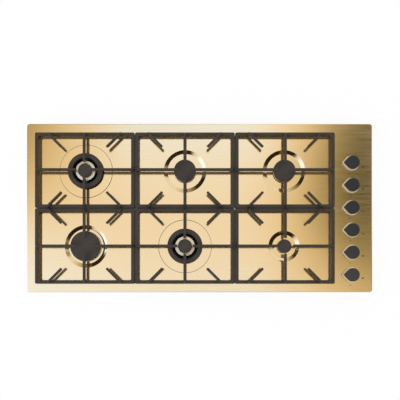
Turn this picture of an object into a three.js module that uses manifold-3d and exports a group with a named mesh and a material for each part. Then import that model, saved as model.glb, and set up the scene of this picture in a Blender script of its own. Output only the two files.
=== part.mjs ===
// Six-burner built-in gas cooktop with a column of six knobs on its right.
// Millimetres. +X to the right, +Y to the rear, +Z up. The origin is the middle of the
// tray's underside.
import * as THREE from 'three';
import { mergeVertices } from 'three/addons/utils/BufferGeometryUtils.js';
import Module from 'manifold-3d';

const wasm = await Module();
wasm.setup();

// ---------------------------------------------------------------- driving sizes

const FIT = 0.3; // running or seating gap between two pieces
const LAP = 1; // how far a cutting tool runs past its piece, and joined forms into each other

// Cooking field: two rows of three pan supports, side by side
const COLUMN_PITCH = 325;
const ROW_PITCH = 246.4;
const COLUMNS = ['left', 'middle', 'right'];
const ROWS = ['front', 'rear'];
const LEFT_MARGIN = 31.5; // from the plate's edge to the field
const FRONT_MARGIN = 27.3;
const REAR_MARGIN = 32.9;
const CONTROL_STRIP = 127.5; // from the field to the plate's right edge

// Top plate: pressed sheet with a turned-down edge and a seat turned inward
const SHEET = 1.2;
const EDGE_HEIGHT = 4;
const SEAT_WIDTH = 14;
const PLATE_CORNER = 9;
const WELL_DEPTH = 3;
const WELL_BEVEL = 9.5;
const WOK_CIRCLE = 175;
const WOK_CIRCLE_DEPTH = 0.4;
const SPINDLE_HOLE = 12;
const WELL_SIDES = 20;

// Base tray
const TRAY_HEIGHT = 50;
const TRAY_SHEET = 1;
const TRAY_FLANGE = 10;
const TRAY_CLEARANCE = 3; // from the tray's flange to the plate's seat
const TRAY_CORNER = 6;
const BEAD_WIDTH = 14;
const BEAD_HEIGHT = 2.5;
const BEAD_LENGTH = 820;
const BEAD_SPACING = 250;

// Burners. The heights are measured up from the sheet that each burner stands on.
const CUP_FLANGE = 3;
const CUP_WALL = 3;
const CUP_DEPTH = 27;
const CUP_SIDES = 12;
const CROWN_WALL = 6;
const CROWN_HEIGHT = 14;
const CROWN_WEB = 3;
const CROWN_SPIGOT = 5;
const PORT_WIDTH = 2;
const PORT_HEIGHT = 5.5;
const CAP_OVERHANG = 6;
const CAP_EDGE = 3.4;
const CAP_CHAMFER = 2.2;
const CAP_DOME = 0.7;
const CAP_SPIGOT = 2;
const BURNERS = {
  auxiliary: { cap: 45, flange: 45, well: 100, ports: 12 },
  semiRapid: { cap: 72, flange: 72, well: 138, ports: 16 },
  rapid: { cap: 98, flange: 101, well: 138, ports: 20 },
};
const WOK = {
  cap: 46, // inner cap
  shoulder: 62, // sloping shoulder of the inner crown
  ringInner: 84, // ring cap
  ringOuter: 115,
  overhang: 3.5,
  crownHeight: 12,
  innerHeight: 16,
  shoulderHeight: 10,
  shoulderSlope: 0.8,
  bridge: 12,
  ports: 16,
  innerPorts: 10,
  innerPortHeight: 4.5,
  sides: 20,
  notch: 8,
};
const ELECTRODE = 4;
const ELECTRODE_HEIGHT = 12;
const THERMOCOUPLE = 3;
const SENSOR_GAP = 1.2;

const LAYOUT = {
  rear_left: 'wok',
  rear_middle: 'semiRapid',
  rear_right: 'semiRapid',
  front_left: 'rapid',
  front_middle: 'wok',
  front_right: 'auxiliary',
};

// Pan supports, cast. The heights are measured up from the plate's top.
const SUPPORT_GAP = 1.4; // between neighbouring supports
const BAR_WIDTH = 11.5;
const BAR_HEIGHT = 14;
const BAR_TOP = 29;
const SUPPORT_CORNER = 5;
const FINGER_WIDTH = 8.8;
const FINGER_HEIGHT = 13;
const FINGER_TOP = 46;
const FINGER_CHAMFER = 2.2;
const FINGER_TIP = 24.2; // from the burner's axis
const TIP_SLOPE = 0.3; // how much further back the tip lies for each millimetre down
const DIAGONAL_WIDTH = 8;
const DIAGONAL_TIP = 72; // along X and along Y from the burner's axis
const GUSSET = 9;
const FINGER_END = 3; // from the support's outer edge back to a finger's end, at its foot
const END_SLOPE = 4; // how much further back its upper edge lies
const FOOT_TOP = 10;
const FOOT_BOTTOM = 8;

// Knobs, from the rear to the front
const KNOB_ORDER = [
  'rear_right', 'rear_middle', 'rear_left', 'front_right', 'front_middle', 'front_left',
];
const KNOB_PITCH = 73.2;
const KNOB_REAR = 129.7; // from the plate's rear edge to the first knob's axis
const KNOB_RIGHT = 68.5; // from the plate's right edge to the knobs' axis
const KNOB_RADIUS = 22;
const KNOB_NOSE = 29; // reach of the pointer from the axis
const NOSE_RADIUS = 3;
const KNOB_TOP = 27; // above the plate
const KNOB_CAP_HEIGHT = 5;
const KNOB_CHAMFER = 1.2;
const KNOB_PUSH = 4;
const SKIRT_GROWTH = 1; // how far the skirt stands out round the knob's cap
const LIP_GROWTH = 1.3; // how far the lip stands out round the skirt
const LIP_HEIGHT = 2;
const SKIRT_WALL = 2;
const HUB_RADIUS = 7;

// Gas taps, spindles and supply
const GAS_LINE = 16; // height of the tubes' axes over the tray's underside
const SPINDLE_RADIUS = 4;
const SPINDLE_FLAT = 2.6; // from the axis to the flat
const SPINDLE_INSERT = 13; // length inside the knob's hub
const COLLAR_HEIGHT = 3;
const TONGUE = 2.4;
const TONGUE_LENGTH = 12;
const PLUG_RADIUS = 8;
const PLUG_HEIGHT = 12;
const PLUG_SLOT = 8;
const PLUG_SIDES = 10;
const TAP_RADIUS = 12;
const TAP_FLOOR = 4;
const TAP_BOTTOM = 8; // over the tray's underside
const TAP_PORT = 5;
const TAP_PORT_LENGTH = 5;
const TAP_CHEEK = 14;
const TUBE_DIAMETER = 8;
const TUBE_BEND = 10;
const INJECTOR_RADIUS = 8;
const INJECTOR_HEIGHT = 14;
const MANIFOLD = 16;
const MANIFOLD_OVERRUN = 18;
const INLET_THREAD = 20.955; // G 1/2
const INLET_BORE = 14;
const INLET_REACH = 22; // past the tray's rear wall
const INLET_HEX = 26;
const INLET_HEX_LENGTH = 10;
const GENERATOR_SIZE = [72, 40, 26];
const GENERATOR_FROM_REAR = 48;
const GENERATOR_FROM_TAPS = 70;
const GENERATOR_CORNER = 4;
const GENERATOR_CHAMFER = 1;
const TERMINAL = [4, 1.6, 7];
const TERMINAL_PITCH = 10;
const TERMINAL_COUNT = 6;

// ---------------------------------------------------------------- derived places

const FIELD_LENGTH = COLUMN_PITCH * COLUMNS.length;
const FIELD_DEPTH = ROW_PITCH * ROWS.length;
const PLATE_LENGTH = LEFT_MARGIN + FIELD_LENGTH + CONTROL_STRIP;
const PLATE_DEPTH = FRONT_MARGIN + FIELD_DEPTH + REAR_MARGIN;
const PLATE_TOP = TRAY_HEIGHT + FIT + SHEET;
const PLATE_UNDERSIDE = PLATE_TOP - SHEET;

const TRAY_INSET = SEAT_WIDTH + TRAY_CLEARANCE + TRAY_FLANGE;
const TRAY_LENGTH = PLATE_LENGTH - 2 * TRAY_INSET;
const TRAY_DEPTH = PLATE_DEPTH - 2 * TRAY_INSET;

const FIELD_LEFT = LEFT_MARGIN - PLATE_LENGTH / 2;
const FIELD_FRONT = FRONT_MARGIN - PLATE_DEPTH / 2;
const SITES = ROWS.flatMap((row, r) => COLUMNS.map((column, c) => {
  const name = `${row}_${column}`;
  const x = FIELD_LEFT + (c + 0.5) * COLUMN_PITCH;
  const y = FIELD_FRONT + (r + 0.5) * ROW_PITCH;
  return { name, x, y, kind: LAYOUT[name] };
}));

const KNOB_X = PLATE_LENGTH / 2 - KNOB_RIGHT;
const KNOBS = KNOB_ORDER.map((name, i) => (
  { name, y: PLATE_DEPTH / 2 - KNOB_REAR - i * KNOB_PITCH }
));
const SKIRT_BOTTOM = PLATE_TOP + KNOB_PUSH + 1;
const SKIRT_TOP = PLATE_TOP + KNOB_TOP - KNOB_CAP_HEIGHT;
const SPINDLE_TOP = SKIRT_TOP - SKIRT_WALL;
const PLUG_BOTTOM = TAP_BOTTOM + TAP_FLOOR + FIT;
const PLUG_TOP = PLUG_BOTTOM + PLUG_HEIGHT;
const COLLAR_BOTTOM = PLUG_TOP + KNOB_PUSH + FIT;
const MANIFOLD_X = KNOB_X + TAP_RADIUS + FIT + MANIFOLD / 2;
const MANIFOLD_AXIS = GAS_LINE + MANIFOLD / 4;

// ---------------------------------------------------------------- joining and cutting

function toSolid(geometry) {
  const bare = geometry.clone();
  bare.deleteAttribute('normal');
  bare.deleteAttribute('uv');
  const merged = mergeVertices(bare, 1e-4);
  const corners = merged.index.array;
  const kept = [];
  for (let i = 0; i < corners.length; i += 3) {
    const [a, b, c] = corners.slice(i, i + 3);
    if (a !== b && b !== c && c !== a) kept.push(a, b, c);
  }
  return new wasm.Manifold(new wasm.Mesh({
    numProp: 3,
    vertProperties: new Float32Array(merged.attributes.position.array),
    triVerts: new Uint32Array(kept),
  }));
}

function toGeometry(solid) {
  const mesh = solid.getMesh();
  const geometry = new THREE.BufferGeometry();
  geometry.setAttribute('position', new THREE.BufferAttribute(mesh.vertProperties, 3));
  geometry.setIndex(new THREE.BufferAttribute(mesh.triVerts, 1));
  return geometry;
}

const join = (...solids) => solids.reduce((whole, next) => whole.add(next));
const cut = (solid, ...tools) => tools.reduce((rest, tool) => rest.subtract(tool), solid);

// ---------------------------------------------------------------- basic forms

// A solid of revolution about Z. The outline is a list of [radius, height] points that runs
// counter-clockwise, from the axis back to the axis or round a closed ring.
function revolve(outline, segments) {
  const ring = outline[0][0] > 0;
  const points = (ring ? [...outline, outline[0]] : outline).map(([r, z]) => new THREE.Vector2(r, z));
  return toSolid(new THREE.LatheGeometry(points, segments).rotateX(Math.PI / 2));
}

// An upright prism of a flat shape, from bottom to top, with its edges chamfered if asked
function prism(shape, bottom, top, chamfer = 0) {
  const geometry = new THREE.ExtrudeGeometry(shape, {
    depth: top - bottom - 2 * chamfer,
    curveSegments: 1,
    bevelEnabled: chamfer > 0,
    bevelThickness: chamfer,
    bevelSize: chamfer,
    bevelOffset: -chamfer,
    bevelSegments: 1,
  });
  return toSolid(geometry.translate(0, 0, bottom + chamfer));
}

function disc(radius, bottom, top, segments, x = 0, y = 0) {
  const geometry = new THREE.CylinderGeometry(radius, radius, top - bottom, segments);
  geometry.rotateX(Math.PI / 2);
  return toSolid(geometry.translate(x, y, (bottom + top) / 2));
}

function block(x0, x1, y0, y1, z0, z1) {
  const geometry = new THREE.BoxGeometry(x1 - x0, y1 - y0, z1 - z0);
  return toSolid(geometry.translate((x0 + x1) / 2, (y0 + y1) / 2, (z0 + z1) / 2));
}

function roundedRectangle(length, depth, radius) {
  const x = length / 2 - radius;
  const y = depth / 2 - radius;
  const shape = new THREE.Shape();
  shape.absarc(x, y, radius, 0, Math.PI / 2);
  shape.absarc(-x, y, radius, Math.PI / 2, Math.PI);
  shape.absarc(-x, -y, radius, Math.PI, 1.5 * Math.PI);
  shape.absarc(x, -y, radius, 1.5 * Math.PI, 2 * Math.PI);
  return shape;
}

function roundedSlab(length, depth, radius, bottom, top, chamfer = 0) {
  return prism(roundedRectangle(length, depth, radius), bottom, top, chamfer);
}

// How far from the axis a round hole of so many flat sides is clear
const clearOf = (radius, sides) => radius * Math.cos(Math.PI / sides);

// The radius of a hole of so many flat sides that a round piece turns in
const boreAround = (radius, sides) => (radius + FIT) / Math.cos(Math.PI / sides);

// ---------------------------------------------------------------- materials and nodes

const finish = (color, roughness, metalness) => new THREE.MeshStandardMaterial({
  color, roughness, metalness,
});
const MATERIALS = {
  gold: finish(0xe6cd9c, 0.22, 1),
  enamel: finish(0x454444, 0.6, 0.1),
  aluminium: finish(0xb9b7b0, 0.4, 1),
  black: finish(0x2c2d2e, 0.45, 0),
  champagne: finish(0xd8cbb0, 0.18, 1),
  steel: finish(0x8f9091, 0.4, 1),
  galvanised: finish(0x9a9d9f, 0.5, 1),
  brass: finish(0xb59a55, 0.35, 1),
  plastic: finish(0x33363a, 0.6, 0),
};

const cooktop = new THREE.Group();

function addNode(name, solid, material, x = 0, y = 0) {
  const mesh = new THREE.Mesh(toGeometry(solid), MATERIALS[material]);
  mesh.name = name;
  mesh.position.set(x, y, 0);
  cooktop.add(mesh);
}

// ---------------------------------------------------------------- burner sizes

const floorOf = (kind) => PLATE_TOP - (kind === 'wok' ? WOK_CIRCLE_DEPTH : WELL_DEPTH);
const wellRadius = (kind) => (kind === 'wok' ? WOK_CIRCLE : BURNERS[kind].well) / 2;
const seatOf = (kind) => floorOf(kind) + FIT + CUP_FLANGE + FIT;

// The crown's outer radius, the cup's flange and its body, and where the electrode stands
function burnerRadii(kind) {
  if (kind === 'wok') {
    const crown = WOK.ringOuter / 2 - WOK.overhang;
    const body = WOK.ringInner / 2 + CUP_WALL;
    return { crown, flange: crown - 1, body, sensor: (body + crown) / 2 };
  }
  const crown = BURNERS[kind].cap / 2 - CAP_OVERHANG;
  const sensor = crown + SENSOR_GAP + ELECTRODE / 2;
  return { crown, flange: BURNERS[kind].flange / 2, body: crown - 1, sensor };
}

// ---------------------------------------------------------------- top plate

// A round area of the sheet pressed down, as one solid to add below and one to take out above
function wellTools(site) {
  const radius = wellRadius(site.kind);
  const floor = floorOf(site.kind);
  if (site.kind === 'wok') {
    return { below: null, above: disc(radius, floor, PLATE_TOP + LAP, WELL_SIDES, site.x, site.y) };
  }
  const inner = radius - WELL_BEVEL;
  const below = revolve([
    [0, floor - SHEET],
    [inner, floor - SHEET],
    [radius, PLATE_UNDERSIDE],
    [radius, PLATE_UNDERSIDE + SHEET / 2],
    [0, PLATE_UNDERSIDE + SHEET / 2],
  ], WELL_SIDES);
  const above = revolve([
    [0, floor],
    [inner, floor],
    [radius, PLATE_TOP],
    [radius, PLATE_TOP + LAP],
    [0, PLATE_TOP + LAP],
  ], WELL_SIDES);
  return { below: below.translate(site.x, site.y, 0), above: above.translate(site.x, site.y, 0) };
}

function topPlate() {
  const bottom = PLATE_TOP - EDGE_HEIGHT;
  const inset = (margin, low, high) => roundedSlab(
    PLATE_LENGTH - 2 * margin, PLATE_DEPTH - 2 * margin, Math.max(PLATE_CORNER - margin, 1), low, high,
  );
  let plate = cut(
    inset(0, bottom, PLATE_TOP),
    inset(SHEET, bottom + SHEET, PLATE_UNDERSIDE),
    inset(SEAT_WIDTH, bottom - LAP, bottom + 1.5 * SHEET),
  );
  for (const site of SITES) {
    const { below, above } = wellTools(site);
    const { body } = burnerRadii(site.kind);
    if (below) plate = join(plate, below);
    const hole = disc(body + FIT, PLATE_TOP - 2 * WELL_DEPTH, PLATE_TOP + LAP, CUP_SIDES, site.x, site.y);
    plate = cut(plate, above, hole);
  }
  const holes = KNOBS.map(({ y }) => (
    disc(SPINDLE_HOLE / 2, PLATE_UNDERSIDE - LAP, PLATE_TOP + LAP, 8, KNOB_X, y)
  ));
  return cut(plate, ...holes);
}

// ---------------------------------------------------------------- base tray

function baseTray() {
  const shell = cut(
    join(
      roundedSlab(TRAY_LENGTH, TRAY_DEPTH, TRAY_CORNER, 0, TRAY_HEIGHT),
      roundedSlab(
        TRAY_LENGTH + 2 * TRAY_FLANGE, TRAY_DEPTH + 2 * TRAY_FLANGE, TRAY_CORNER,
        TRAY_HEIGHT - TRAY_SHEET, TRAY_HEIGHT,
      ),
    ),
    roundedSlab(
      TRAY_LENGTH - 2 * TRAY_SHEET, TRAY_DEPTH - 2 * TRAY_SHEET, TRAY_CORNER - TRAY_SHEET,
      TRAY_SHEET, TRAY_HEIGHT + LAP,
    ),
  );
  // Stiffening beads, pressed up from below
  const beadTops = [-1, 1].map((side) => {
    const y = side * BEAD_SPACING / 2;
    const outer = BEAD_WIDTH / 2 + TRAY_SHEET;
    const half = BEAD_LENGTH / 2 + TRAY_SHEET;
    return block(-half, half, y - outer, y + outer, TRAY_SHEET / 2, BEAD_HEIGHT + TRAY_SHEET);
  });
  const beadHollows = [-1, 1].map((side) => {
    const y = side * BEAD_SPACING / 2;
    const half = BEAD_LENGTH / 2;
    return block(-half, half, y - BEAD_WIDTH / 2, y + BEAD_WIDTH / 2, -LAP, BEAD_HEIGHT);
  });
  const inletHole = toSolid(
    new THREE.CylinderGeometry(INLET_THREAD / 2 + FIT, INLET_THREAD / 2 + FIT, 6 * TRAY_SHEET, 16)
      .translate(MANIFOLD_X, TRAY_DEPTH / 2, MANIFOLD_AXIS),
  );
  return cut(join(shell, ...beadTops), ...beadHollows, inletHole);
}

// ---------------------------------------------------------------- pan supports

// A finger lying along +X: a bar with its upper edges chamfered, its tip cut back below and its
// outer end sloping down, and a gusset down to the frame's bar, which runs from barReach to reach
function finger(tip, reach, barReach, width) {
  const top = PLATE_TOP + FINGER_TOP;
  const underside = top - FINGER_HEIGHT;
  const end = reach - FINGER_END;
  const seat = PLATE_TOP + BAR_TOP - BAR_HEIGHT / 2;
  const half = width / 2;
  const section = new THREE.Shape([
    new THREE.Vector2(-half, underside),
    new THREE.Vector2(half, underside),
    new THREE.Vector2(half, top - FINGER_CHAMFER),
    new THREE.Vector2(half - FINGER_CHAMFER, top),
    new THREE.Vector2(FINGER_CHAMFER - half, top),
    new THREE.Vector2(-half, top - FINGER_CHAMFER),
  ]);
  const bar = new THREE.ExtrudeGeometry(section, { depth: end - tip, bevelEnabled: false });
  bar.rotateX(Math.PI / 2).rotateZ(Math.PI / 2).translate(tip, 0, 0);
  const position = bar.getAttribute('position');
  for (let i = 0; i < position.count; i += 1) {
    const depth = top - position.getZ(i);
    const atTip = position.getX(i) < (tip + end) / 2;
    const endBack = END_SLOPE * (1 - depth / FINGER_HEIGHT);
    position.setX(i, atTip ? tip + depth * TIP_SLOPE : end - endBack);
  }
  const gusset = new THREE.ExtrudeGeometry(new THREE.Shape([
    new THREE.Vector2(barReach - GUSSET, underside + LAP),
    new THREE.Vector2(barReach, seat),
    new THREE.Vector2(end, seat),
    new THREE.Vector2(end, underside + LAP),
  ]), { depth: width, bevelEnabled: false });
  gusset.rotateX(Math.PI / 2).translate(0, half, 0);
  return join(toSolid(bar), toSolid(gusset));
}

function panSupport() {
  const length = COLUMN_PITCH - SUPPORT_GAP;
  const depth = ROW_PITCH - SUPPORT_GAP;
  const barBottom = PLATE_TOP + BAR_TOP - BAR_HEIGHT;
  const outline = roundedRectangle(length, depth, SUPPORT_CORNER);
  outline.holes.push(roundedRectangle(length - 2 * BAR_WIDTH, depth - 2 * BAR_WIDTH, SUPPORT_CORNER));
  const frame = prism(outline, barBottom, PLATE_TOP + BAR_TOP);

  const straight = (half) => finger(FINGER_TIP, half, half - BAR_WIDTH, FINGER_WIDTH);
  const reach = (depth / 2) * Math.SQRT2;
  // The diagonals are made too long and trimmed where they meet the support's edge
  const diagonal = finger(
    DIAGONAL_TIP * Math.SQRT2, reach + DIAGONAL_WIDTH, reach - BAR_WIDTH * Math.SQRT2, DIAGONAL_WIDTH,
  );
  const diagonals = [45, 135, 225, 315].map((angle) => diagonal.rotate(0, 0, angle));
  const limit = block(
    -length / 2, length / 2, -depth / 2, depth / 2, PLATE_TOP, PLATE_TOP + FINGER_TOP + LAP,
  );

  const feet = [[1, 1], [-1, 1], [-1, -1], [1, -1]].map(([sx, sy]) => {
    const height = barBottom - PLATE_TOP - FIT + LAP;
    const foot = new THREE.CylinderGeometry(FOOT_TOP / 2, FOOT_BOTTOM / 2, height, 6);
    foot.rotateX(Math.PI / 2);
    const x = sx * (length - BAR_WIDTH) / 2;
    const y = sy * (depth - BAR_WIDTH) / 2;
    return toSolid(foot.translate(x, y, PLATE_TOP + FIT + height / 2));
  });
  return join(
    frame,
    straight(length / 2),
    straight(depth / 2).rotate(0, 0, 90),
    straight(length / 2).rotate(0, 0, 180),
    straight(depth / 2).rotate(0, 0, 270),
    join(...diagonals).intersect(limit),
    ...feet,
  );
}

// ---------------------------------------------------------------- burners

// Thin blocks across the full width of a crown: each cuts two opposite ports
function portCutters(radius, count, top, height = PORT_HEIGHT) {
  const step = 360 / count;
  return Array.from({ length: count / 2 }, (_, i) => (
    block(-radius - LAP, radius + LAP, -PORT_WIDTH / 2, PORT_WIDTH / 2, top - height, top + LAP)
      .rotate(0, 0, (i + 0.5) * step)
  ));
}

function singleSpreader(kind) {
  const { crown, body } = burnerRadii(kind);
  const seat = seatOf(kind);
  const chamber = crown - CROWN_WALL;
  const spigot = clearOf(body - CUP_WALL, CUP_SIDES) - FIT;
  const throat = spigot - CUP_WALL;
  const ring = revolve([
    [throat, seat - CROWN_SPIGOT],
    [spigot, seat - CROWN_SPIGOT],
    [spigot, seat],
    [crown, seat],
    [crown, seat + CROWN_HEIGHT],
    [chamber, seat + CROWN_HEIGHT],
  ], BURNERS[kind].ports);
  return cut(ring, ...portCutters(crown, BURNERS[kind].ports, seat + CROWN_HEIGHT));
}

function wokSpreader() {
  const seat = seatOf('wok');
  const { crown, sensor } = burnerRadii('wok');
  const chamber = crown - CROWN_WALL;
  const top = seat + WOK.crownHeight;
  const outer = cut(
    revolve([
      [chamber, seat],
      [crown, seat],
      [crown, top],
      [chamber, top],
    ], WOK.ports),
    ...portCutters(crown, WOK.ports, top),
  );

  const innerTop = seat + WOK.innerHeight;
  const innerCrown = WOK.cap / 2 - WOK.overhang;
  const throat = innerCrown - CROWN_WALL;
  const inner = cut(
    revolve([
      [throat, seat],
      [WOK.shoulder / 2, seat],
      [WOK.shoulder / 2, seat + WOK.shoulderHeight - WOK.shoulderSlope],
      [innerCrown, seat + WOK.shoulderHeight],
      [innerCrown, innerTop],
      [throat, innerTop],
    ], WOK.innerPorts),
    ...portCutters(WOK.shoulder / 2, WOK.innerPorts, innerTop, WOK.innerPortHeight),
  );

  const bridges = [0, 90, 180, 270].map((angle) => block(
    WOK.shoulder / 2 - 2 * LAP, chamber + 2 * LAP, -WOK.bridge / 2, WOK.bridge / 2,
    seat, seat + CROWN_WEB,
  ).rotate(0, 0, angle));
  const notches = [45, 225].map((angle) => block(
    sensor - WOK.notch / 2, crown + LAP, -WOK.notch / 2, WOK.notch / 2, seat - LAP, top + LAP,
  ).rotate(0, 0, angle));
  return cut(join(outer, inner, ...bridges), ...notches);
}

function roundCap(radius, bottom, spigot, segments) {
  return revolve([
    [0, bottom - CAP_SPIGOT],
    [spigot, bottom - CAP_SPIGOT],
    [spigot, bottom],
    [radius, bottom],
    [radius, bottom + CAP_EDGE],
    [radius - CAP_CHAMFER, bottom + CAP_EDGE + CAP_CHAMFER * 0.8],
    [0, bottom + CAP_EDGE + CAP_CHAMFER * 0.8 + CAP_DOME],
  ], segments);
}

function ringCap() {
  const bottom = seatOf('wok') + WOK.crownHeight + FIT;
  const inner = WOK.ringInner / 2;
  const outer = WOK.ringOuter / 2;
  const top = bottom + CAP_EDGE + CAP_CHAMFER;
  return revolve([
    [inner, bottom],
    [outer, bottom],
    [outer, bottom + CAP_EDGE],
    [outer - CAP_CHAMFER * 1.5, top],
    [inner + CAP_CHAMFER * 1.5, top],
    [inner, bottom + CAP_EDGE],
  ], WOK.sides);
}

// ---------------------------------------------------------------- supply tubes

// A route given by its ring centres, one ring at each
class Route extends THREE.Curve {
  constructor(centres) {
    super();
    this.centres = centres;
  }

  getPoint(t, target = new THREE.Vector3()) {
    const i = Math.round(t * (this.centres.length - 1));
    return target.copy(this.centres[i]);
  }

  getPointAt(u, target) {
    return this.getPoint(u, target);
  }

  getTangentAt(u, target = new THREE.Vector3()) {
    const last = this.centres.length - 1;
    const i = Math.round(u * last);
    const before = this.centres[Math.max(i - 1, 0)];
    const after = this.centres[Math.min(i + 1, last)];
    return target.subVectors(after, before).normalize();
  }
}

// From a tap straight to the left, round one bend and on to a burner's injector
function supplyTube(fromX, laneY, toX, toY) {
  const turn = Math.sign(toY - laneY);
  const steps = 3;
  const centres = [new THREE.Vector3(fromX, laneY, GAS_LINE)];
  for (let i = 0; i <= steps; i += 1) {
    const angle = (i / steps) * Math.PI / 2;
    centres.push(new THREE.Vector3(
      toX + TUBE_BEND * (1 - Math.sin(angle)),
      laneY + turn * TUBE_BEND * (1 - Math.cos(angle)),
      GAS_LINE,
    ));
  }
  centres.push(new THREE.Vector3(toX, toY - turn * INJECTOR_RADIUS / 2, GAS_LINE));
  const section = new THREE.Shape();
  section.absarc(0, 0, TUBE_DIAMETER / 2, 0, 2 * Math.PI);
  const route = new Route(centres);
  return toSolid(new THREE.ExtrudeGeometry(section, {
    steps: centres.length - 1,
    curveSegments: 3,
    extrudePath: route,
  }));
}

// The cup with its injector holder, supply tube, electrode and thermocouple
function burnerCup(site, laneY) {
  const { flange, body, sensor } = burnerRadii(site.kind);
  const floor = floorOf(site.kind);
  const bottom = floor - CUP_DEPTH;
  const inner = body - CUP_WALL;
  const cup = revolve([
    [0, GAS_LINE - INJECTOR_HEIGHT / 2],
    [INJECTOR_RADIUS, GAS_LINE - INJECTOR_HEIGHT / 2],
    [INJECTOR_RADIUS, bottom],
    [body, bottom + CUP_WALL],
    [body, floor + FIT],
    [flange, floor + FIT],
    [flange, floor + FIT + CUP_FLANGE],
    [inner, floor + FIT + CUP_FLANGE],
    [inner, bottom + 3 * CUP_WALL],
    [0, bottom + 2 * CUP_WALL],
  ], CUP_SIDES);
  const tapSide = KNOB_X - TAP_RADIUS - TAP_PORT_LENGTH - FIT;
  const tube = supplyTube(tapSide - site.x, laneY - site.y, 0, 0);
  const stand = floor + FIT + CUP_FLANGE / 2;
  const probe = (diameter, angle) => disc(
    diameter / 2, stand, floor + FIT + CUP_FLANGE + ELECTRODE_HEIGHT, 6, sensor, 0,
  ).rotate(0, 0, angle);
  return join(cup, tube, probe(ELECTRODE, 45), probe(THERMOCOUPLE, 225));
}

// ---------------------------------------------------------------- knobs

// A circle drawn out to a pointer towards -X, grown all round
function teardrop(growth) {
  const radius = KNOB_RADIUS + growth;
  const tip = NOSE_RADIUS + growth;
  const tipX = NOSE_RADIUS - KNOB_NOSE;
  const lean = Math.acos((radius - tip) / -tipX);
  const shape = new THREE.Shape();
  shape.absarc(0, 0, radius, lean - Math.PI, Math.PI - lean);
  shape.absarc(tipX, 0, tip, Math.PI - lean, Math.PI + lean);
  return shape;
}

function teardropPrism(growth, bottom, top, chamfer = 0) {
  const shape = teardrop(growth);
  const round = shape.curves[0].getPoints(10);
  const nose = shape.curves[shape.curves.length - 1].getPoints(2);
  return prism(new THREE.Shape([...round, ...nose]), bottom, top, chamfer);
}

// A round bar with one flat
function dShaft(radius, flat, bottom, top) {
  const lean = Math.acos(flat / radius);
  const shape = new THREE.Shape();
  shape.absarc(0, 0, radius, lean, 2 * Math.PI - lean);
  return prism(new THREE.Shape(shape.curves[0].getPoints(7)), bottom, top);
}

function knobCap() {
  const top = PLATE_TOP + KNOB_TOP;
  const hub = disc(HUB_RADIUS, SPINDLE_TOP + FIT - SPINDLE_INSERT, SKIRT_TOP + FIT + LAP, 8);
  const bore = dShaft(
    SPINDLE_RADIUS + FIT, SPINDLE_FLAT + FIT, SPINDLE_TOP - SPINDLE_INSERT - LAP, SPINDLE_TOP + FIT,
  );
  return cut(join(teardropPrism(0, SKIRT_TOP + FIT, top, KNOB_CHAMFER), hub), bore);
}

function knobSkirt() {
  const outside = join(
    teardropPrism(SKIRT_GROWTH, SKIRT_BOTTOM, SKIRT_TOP),
    teardropPrism(SKIRT_GROWTH + LIP_GROWTH, SKIRT_BOTTOM, SKIRT_BOTTOM + LIP_HEIGHT),
  );
  return cut(
    outside,
    teardropPrism(SKIRT_GROWTH - SKIRT_WALL, SKIRT_BOTTOM - LAP, SKIRT_TOP - SKIRT_WALL),
    disc(HUB_RADIUS + FIT, SKIRT_TOP - SKIRT_WALL - LAP, SKIRT_TOP + LAP, 8),
  );
}

// ---------------------------------------------------------------- taps

function tapSpindle() {
  const flatBottom = SPINDLE_TOP - SPINDLE_INSERT - KNOB_PUSH;
  const collar = PLUG_RADIUS - FIT;
  const round = revolve([
    [0, COLLAR_BOTTOM],
    [collar, COLLAR_BOTTOM],
    [collar, COLLAR_BOTTOM + COLLAR_HEIGHT],
    [SPINDLE_RADIUS, COLLAR_BOTTOM + COLLAR_HEIGHT],
    [SPINDLE_RADIUS, flatBottom],
    [0, flatBottom],
  ], 8);
  const tongue = block(
    -TONGUE_LENGTH / 2, TONGUE_LENGTH / 2, -TONGUE / 2, TONGUE / 2,
    PLUG_TOP - PLUG_SLOT + KNOB_PUSH + FIT, COLLAR_BOTTOM + LAP,
  );
  return join(round, dShaft(SPINDLE_RADIUS, SPINDLE_FLAT, flatBottom - LAP, SPINDLE_TOP), tongue);
}

function tapPlug() {
  const slot = TONGUE / 2 + FIT;
  return cut(
    disc(PLUG_RADIUS, PLUG_BOTTOM, PLUG_TOP, PLUG_SIDES),
    block(-PLUG_RADIUS - LAP, PLUG_RADIUS + LAP, -slot, slot, PLUG_TOP - PLUG_SLOT, PLUG_TOP + LAP),
  );
}

function tapBody() {
  const top = PLATE_UNDERSIDE - FIT;
  const bore = boreAround(PLUG_RADIUS, PLUG_SIDES);
  const barrel = cut(
    disc(TAP_RADIUS, TAP_BOTTOM, top, PLUG_SIDES),
    disc(bore, TAP_BOTTOM + TAP_FLOOR, top + LAP, PLUG_SIDES),
  );
  const cheek = block(
    bore + LAP, TAP_RADIUS, -TAP_CHEEK / 2, TAP_CHEEK / 2,
    MANIFOLD_AXIS - MANIFOLD / 2, MANIFOLD_AXIS + MANIFOLD / 2,
  );
  const port = toSolid(
    new THREE.CylinderGeometry(TAP_PORT, TAP_PORT, TAP_PORT_LENGTH + 2 * LAP, 8)
      .rotateZ(Math.PI / 2)
      .translate(-TAP_RADIUS - TAP_PORT_LENGTH / 2 + LAP, 0, GAS_LINE),
  );
  return join(barrel, cheek, port);
}

// ---------------------------------------------------------------- manifold and generator

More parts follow.
